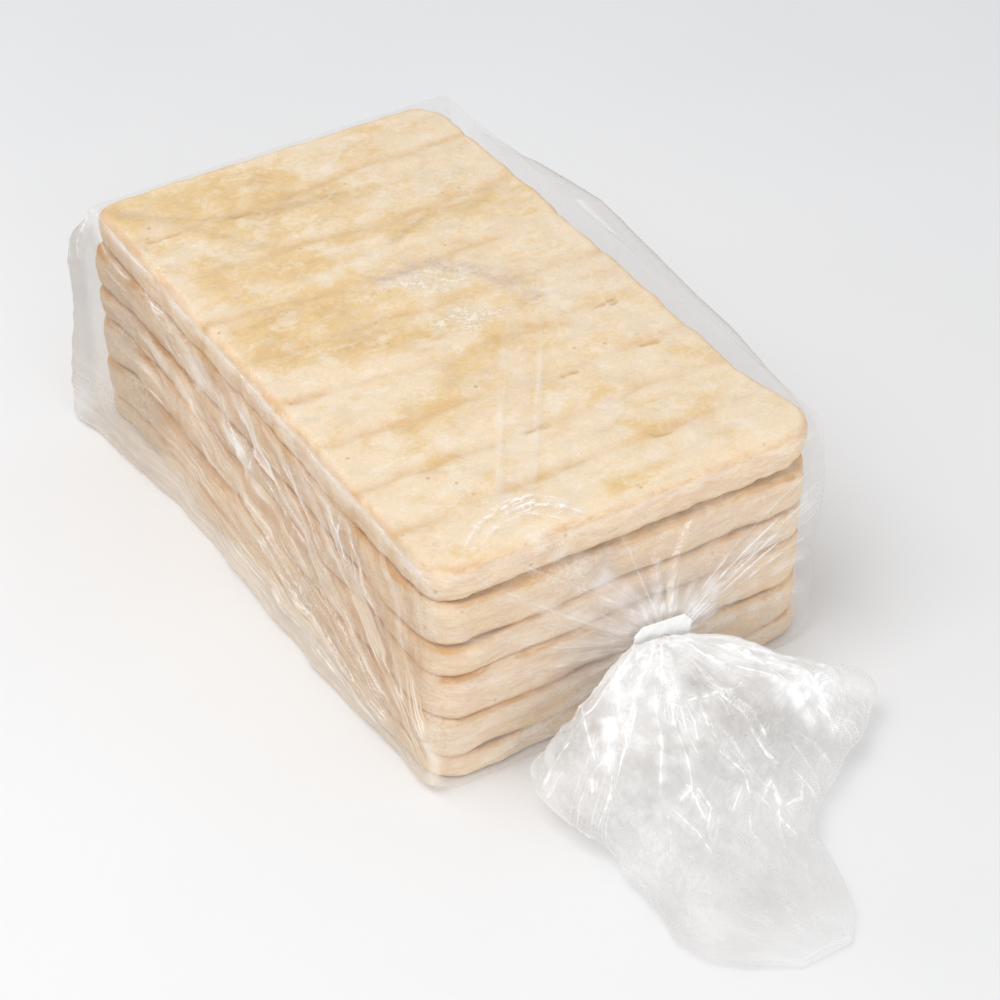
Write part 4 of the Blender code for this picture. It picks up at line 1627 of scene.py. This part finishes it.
    def shade_greying(self, grid: Array, normals: Array) -> Marks:
        """Says where the film over the stack is greyer with painted shade, and where it clings.

        Args:
            grid: the film's points.
            normals: its outward normals.

        Returns:
            The marks shade_grey and cling, from 0 to 1.
        """
        x, y, z = np.moveaxis(grid, -1, 0)
        ear = ramp(-SIDE - 0.002, -SIDE - 0.007, x) * ramp(0.03, 0.09, y)
        ear = ear * (0.4 + 0.6 * ramp(0.002, 0.030, z))
        tent = ramp(SIDE + 0.002, SIDE + 0.010, x)
        grazed = ramp(0.3, 0.8, -normals[..., 0]) * ramp(0.03, 0.10, z)
        # Grey on the ear, the tent and the side facing left: painted shade and darker reflection over
        # doubled film and film seen at a slant.
        shade_grey = np.clip(1.15 * ear + 0.25 * tent + 0.12 * grazed, 0, 1)
        for line in DOUBLED_LINES_MM:
            away, along, _ = line_distance(grid[..., :2], np.array(line) * MM)
            shown = 0.55 * bell(away, 0.0016) * ramp(1.0, 0.6, along) * (normals[..., 2] > 0.5)
            shade_grey = np.maximum(shade_grey, shown)
        cling = ramp(self.near + 0.016, self.near + 0.010, y) * ramp(0.094, 0.102, z)
        patchy = np.clip(0.55 + 0.7 * sine_noise(grid, 0.05, Seed.CLING), 0, 0.9)
        on_edge = ramp(-SIDE + 0.008, -SIDE + 0.002, x) * ramp(0.098, 0.105, z)
        return {"shade_grey": shade_grey, "cling": np.maximum(cling, on_edge * patchy)}

    def clouding(self, grid: Array, normals: Array) -> Marks:
        """Says where the film over the stack is milky, fanned with streaks and tinted light brown.

        The fan's dark streaks are painted shade, the tint a painted reflection of the bread, and the
        veil holds a painted highlight on the ridge of the loose fold on the right.

        Args:
            grid: the film's points.
            normals: its outward normals.

        Returns:
            The marks veil, fan and bread_reflection, from 0 to 1.
        """
        x, y, z = np.moveaxis(grid, -1, 0)
        left = ramp(0.3, 0.8, -normals[..., 0])
        fan = left * ramp(0.0, 0.03, z) * (0.25 + 0.75 * ramp(0.108, 0.092, z))
        fan *= ramp(-SIDE - 0.012, -SIDE - 0.004, x) * (y < 0.147) * (y > FRONT + 0.004)
        # Light brown on the low left side: a painted reflection of the bread in the film.
        bread_reflection = ramp(0.2, 0.6, -normals[..., 0]) * ramp(0.095, 0.045, z) * ramp(0.150, 0.120, y)
        skirt = (0.30 + 0.14 * ramp(0.03, 0.01, z)) * ramp(0.090, 0.01, z) * left
        skirt = np.maximum(skirt, 0.15 * ramp(0.055, 0.0, z) * ramp(0.3, 0.8, -normals[..., 1]))
        veil = np.maximum(self.gathering(grid) * (y < FRONT + 0.004), skirt)
        for line, width, share in CLOUDED_BANDS_MM:
            away, along, _ = line_distance(grid[..., :2], np.array(line) * MM)
            fade = ramp(0.0, 0.1, along) * ramp(1.0, 0.6, along) * (normals[..., 2] > 0.5)
            veil = np.maximum(veil, share * bell(away, width * MM, 4) * fade)
        return {"veil": veil, "fan": fan, "bread_reflection": bread_reflection}

    def loose_end(self) -> tuple[Array, Marks]:
        """Crumples the tail and draws its tip together.

        Returns:
            The rings' points and their marks.
        """
        _, angles = self.directions()
        smooth = self.tail()
        reach = self.off_neck(smooth).max(axis=1)
        begun = ramp(0.004, 0.040, reach)[:, None] * np.ones(self.around)
        begun[-self.calmed_rows :] *= np.linspace(1, 0, self.calmed_rows)[:, None]
        pleats = self.pleating(angles, Seed.TAIL_PLEATS)
        fan = ramp(0.004, 0.030, reach) * ramp(0.2, -0.1, np.linspace(-0.5, 0.6, len(smooth)))
        normals = grid_normals(smooth)
        grid = smooth + normals * (0.0016 * fan[:, None] * pleats)[..., None]
        height, lines = self.raise_folds(grid, normals, True)
        grid = grid + normals * (self.crumple_tail(grid, begun) + height * begun)[..., None]
        slack = 0.0012 * np.clip(sine_noise(grid, 0.02, Seed.TAIL_FLOOR), 0, 1)
        floor = self.table_gap + slack * ramp(0.0, 0.01, smooth[..., 2])
        grid[..., 2] = np.maximum(grid[..., 2], floor)
        tip, last = grid[-1].mean(axis=0), self.tip_rows
        closing = tip + (grid[-1] - tip) * np.linspace(1, 0.02, last + 1)[1:, None, None]
        grid = np.concatenate([grid, closing])
        for label, values in lines.items():
            lines[label] = np.concatenate([values, np.repeat(values[-1:], last, axis=0)])
        lines["crease_highlight"] = self.whitened(lines["crease_highlight"], 0.95, grid)
        return grid, {**lines, **self.tail_looks(grid), "flow": self.flowing(grid, 0)}

    def tail_looks(self, grid: Array) -> Marks:
        """Says where the tail is milky, lightened by painted highlights and greyed by painted shade.

        Args:
            grid: the tail's points.

        Returns:
            The marks veil, shade_grey, fan, cling and bread_reflection.
        """
        from_neck = np.linalg.norm(grid - NECK_PLACE, axis=-1)
        veil = np.interp(from_neck, *self.tail_veil)
        veil *= 1 + 0.20 * sine_noise(grid, 0.030, Seed.TAIL_VEIL)
        # Grey over the layered film: painted shade and darker reflection.
        shade_grey = 0.35 * np.clip(0.1 + 0.7 * sine_noise(grid, 0.040, Seed.TAIL_SHADE_GREY), 0, 1)
        # Painted highlights: milkier spots where the tail catches the light.
        for spot in self.tail_highlights:
            veil = veil + self.spot_share(grid, spot)
        # Painted shade in the tail's hollows: greyer and less milky.
        for spot in self.tail_shades:
            hollow = self.spot_share(grid, spot)
            shade_grey = np.maximum(shade_grey, hollow)
            veil = veil * (1 - 0.7 * hollow)
        cling = 0.80 + 0.05 * ramp(-0.225, -0.255, grid[..., 1])
        none = np.zeros(shade_grey.shape)
        return {"veil": veil, "shade_grey": shade_grey, "fan": none, "cling": cling, "bread_reflection": none}

    @staticmethod
    def spot_share(grid: Array, spot: Spot) -> Array:
        """Gives a soft round spot on the tail's upper side: a bell of the distance in plan.

        Args:
            grid: the tail's points.
            spot: its x, y, size and strength.

        Returns:
            Its share at each point.
        """
        x, y, size, strength = spot
        away = np.hypot(grid[..., 0] - x, grid[..., 1] - y)
        return strength * bell(away, size) * (grid[..., 2] > 0.015)

    def build(self) -> list[Piece]:
        """Builds the film as three pieces that share their end rings.

        Returns:
            The pieces' objects.
        """
        grid, marks = self.cover()
        normals = grid_normals(grid)
        cut = int(np.argmin(np.abs(grid[:, 0, 1] - self.mouth_cut)))
        material = FilmFinish().build()
        pieces = [
            self.part("film_body", grid, marks, normals, slice(0, cut + 1), True, False),
            self.part("film_mouth", grid, marks, normals, slice(cut, None), False, False),
        ]
        grid, marks = self.loose_end()
        normals = grid_normals(grid)
        pieces.append(self.part("film_tail", grid, marks, normals, slice(None), False, True))
        for piece in pieces:
            piece.data.materials.append(material)
            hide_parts("bag")
        return pieces

    @staticmethod
    def part(
        name: str,
        grid: Array,
        marks: Marks,
        normals: Array,
        rows: slice,
        shut_first: bool,
        shut_last: bool,
    ) -> Piece:
        """Makes one piece of film from some of a run of rings.

        Args:
            name: the piece's name.
            grid: the whole run's points.
            marks: the whole run's marks.
            normals: the whole run's normals.
            rows: the piece's rings.
            shut_first: whether the first ring is closed with a fan.
            shut_last: whether the last ring is closed with a fan.

        Returns:
            The piece's object.
        """
        ours, facing = grid[rows], normals[rows]
        count, columns = ours.shape[:2]
        faces = [sheet_quads(count, columns, True)]
        points = [ours.reshape(-1, 3)]
        directions = [facing.reshape(-1, 3)]
        kept = {}
        for label, values in marks.items():
            kept[label] = [values[rows].reshape(count * columns, *values.shape[2:])]
        ring = np.arange(columns)
        for wanted, row, flip in ((shut_first, 0, True), (shut_last, count - 1, False)):
            if not wanted:
                continue
            centre = sum(len(p) for p in points)
            points.append(ours[row].mean(axis=0)[None])
            directions.append(facing[row].mean(axis=0)[None])
            for label, values in marks.items():
                kept[label].append(values[rows][row].mean(axis=0)[None])
            first, second = row * columns + ring, row * columns + (ring + 1) % columns
            fan = np.stack([first, second, np.full(columns, centre)], axis=1)
            faces.append(fan[:, ::-1] if flip else fan)
        whole = np.concatenate(directions)
        whole = whole / np.maximum(np.linalg.norm(whole, axis=1, keepdims=True), 1e-9)
        joined = {label: np.concatenate(values) for label, values in kept.items()}
        return make_piece(name, np.concatenate(points), faces, joined, whole)


# ---------------------------------------------------------------- studio


@dataclass(frozen=True)
class AreaLamp:
    """A soft square lamp that points at the pack."""

    name: str
    place: Triple
    target: Triple
    size: float
    watts: float
    tone: Triple = (1.0, 1.0, 1.0)

    def hang(self) -> None:
        """Adds the lamp to the scene."""
        data = bpy.data.lights.new(self.name, "AREA")
        data.size = self.size
        data.energy = self.watts
        data.color = self.tone
        lamp = bpy.data.objects.new(self.name, data)
        lamp.location = self.place
        aim = Vector(self.target) - Vector(self.place)
        lamp.rotation_euler = aim.to_track_quat("-Z", "Y").to_euler()
        bpy.context.scene.collection.objects.link(lamp)


@dataclass
class Studio:
    """Pale table, soft lamps, an even surround and the camera."""

    azimuth: float = -31.59
    elevation: float = 39.25
    distance: float = 1.201
    aim: Pair = (0.0261, 0.0053)
    lens: float = 96.48
    sensor: float = 36.0
    table_half: float = 4.0
    surround: Triple = (0.96, 0.98, 1.0)
    surround_strength: float = 0.70
    clear_bounces: int = 24
    lamps: tuple[AreaLamp, ...] = (
        AreaLamp("lamp_over", (-0.46, -0.12, 1.10), (0, 0, 0), 0.65, 5.5),
        AreaLamp("lamp_back", (-0.60, 0.85, 0.70), (0, 0, 0.05), 0.20, 1.0),
        AreaLamp("lamp_front", (-0.25, -1.90, 0.46), (0, -0.1, 0.05), 0.85, 8.5),
    )

    def set_camera(self) -> None:
        """Sets the camera by its azimuth, elevation and distance, moved sideways by the aim."""
        azimuth, elevation = math.radians(self.azimuth), math.radians(self.elevation)
        flat = math.cos(elevation)
        back = Vector((math.sin(azimuth) * flat, -math.cos(azimuth) * flat, math.sin(elevation)))
        right = Vector((math.cos(azimuth), math.sin(azimuth), 0))
        up = back.cross(right)
        data = bpy.data.cameras.new("camera")
        data.lens = self.lens
        data.sensor_width = self.sensor
        data.sensor_fit = "HORIZONTAL"
        camera = bpy.data.objects.new("camera", data)
        place = back * self.distance + right * self.aim[0] + up * self.aim[1]
        turned = Matrix((right, up, back)).transposed().to_4x4()
        camera.matrix_world = Matrix.Translation(place) @ turned
        bpy.context.scene.collection.objects.link(camera)
        bpy.context.scene.camera = camera

    def set_light(self) -> None:
        """Hangs the lamps and sets the even surround and what the render makes of clear film."""
        for lamp in self.lamps:
            lamp.hang()
        world = bpy.data.worlds.new("surround")
        world.use_nodes = True
        shade = world.node_tree.nodes["Background"]
        shade.inputs["Color"].default_value = (*self.surround, 1)
        shade.inputs["Strength"].default_value = self.surround_strength
        bpy.context.scene.world = world
        bpy.context.scene.view_settings.view_transform = "Standard"
        bpy.context.scene.cycles.transparent_max_bounces = self.clear_bounces

    def lay_table(self) -> Piece:
        """Lays the table top.

        Returns:
            Its object.
        """
        half = self.table_half
        lines = np.linspace(-half, half, 3)
        flat = np.stack(np.meshgrid(lines, lines, indexing="xy"), axis=-1).reshape(-1, 2)
        points = np.concatenate([flat, np.zeros((len(flat), 1))], axis=1)
        table = make_piece("table_top", points, [sheet_quads(3, 3, False)], {})
        table.data.materials.append(FloorFinish().build())
        return table


def dress_clip() -> Piece:
    """Gives the CAD model's clip its finish.

    Returns:
        The clip's object.
    """
    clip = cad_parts["clip"]
    clip.data.materials.clear()
    clip.data.materials.append(ClipFinish().build())
    return clip


def main() -> None:
    """Builds the stack, the bag and the clip, then the studio round them."""
    logging.basicConfig(level=logging.INFO, format="%(name)s: %(message)s")
    pieces = BreadStack().build() + FilmBag().build()
    for piece in pieces:
        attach(piece, "root")
        LOG.info("%s: %d faces", piece.name, len(piece.data.polygons))
    LOG.info("%s: dressed", dress_clip().name)
    studio = Studio()
    studio.lay_table()
    studio.set_light()
    studio.set_camera()


if __name__ == "__main__":
    main()
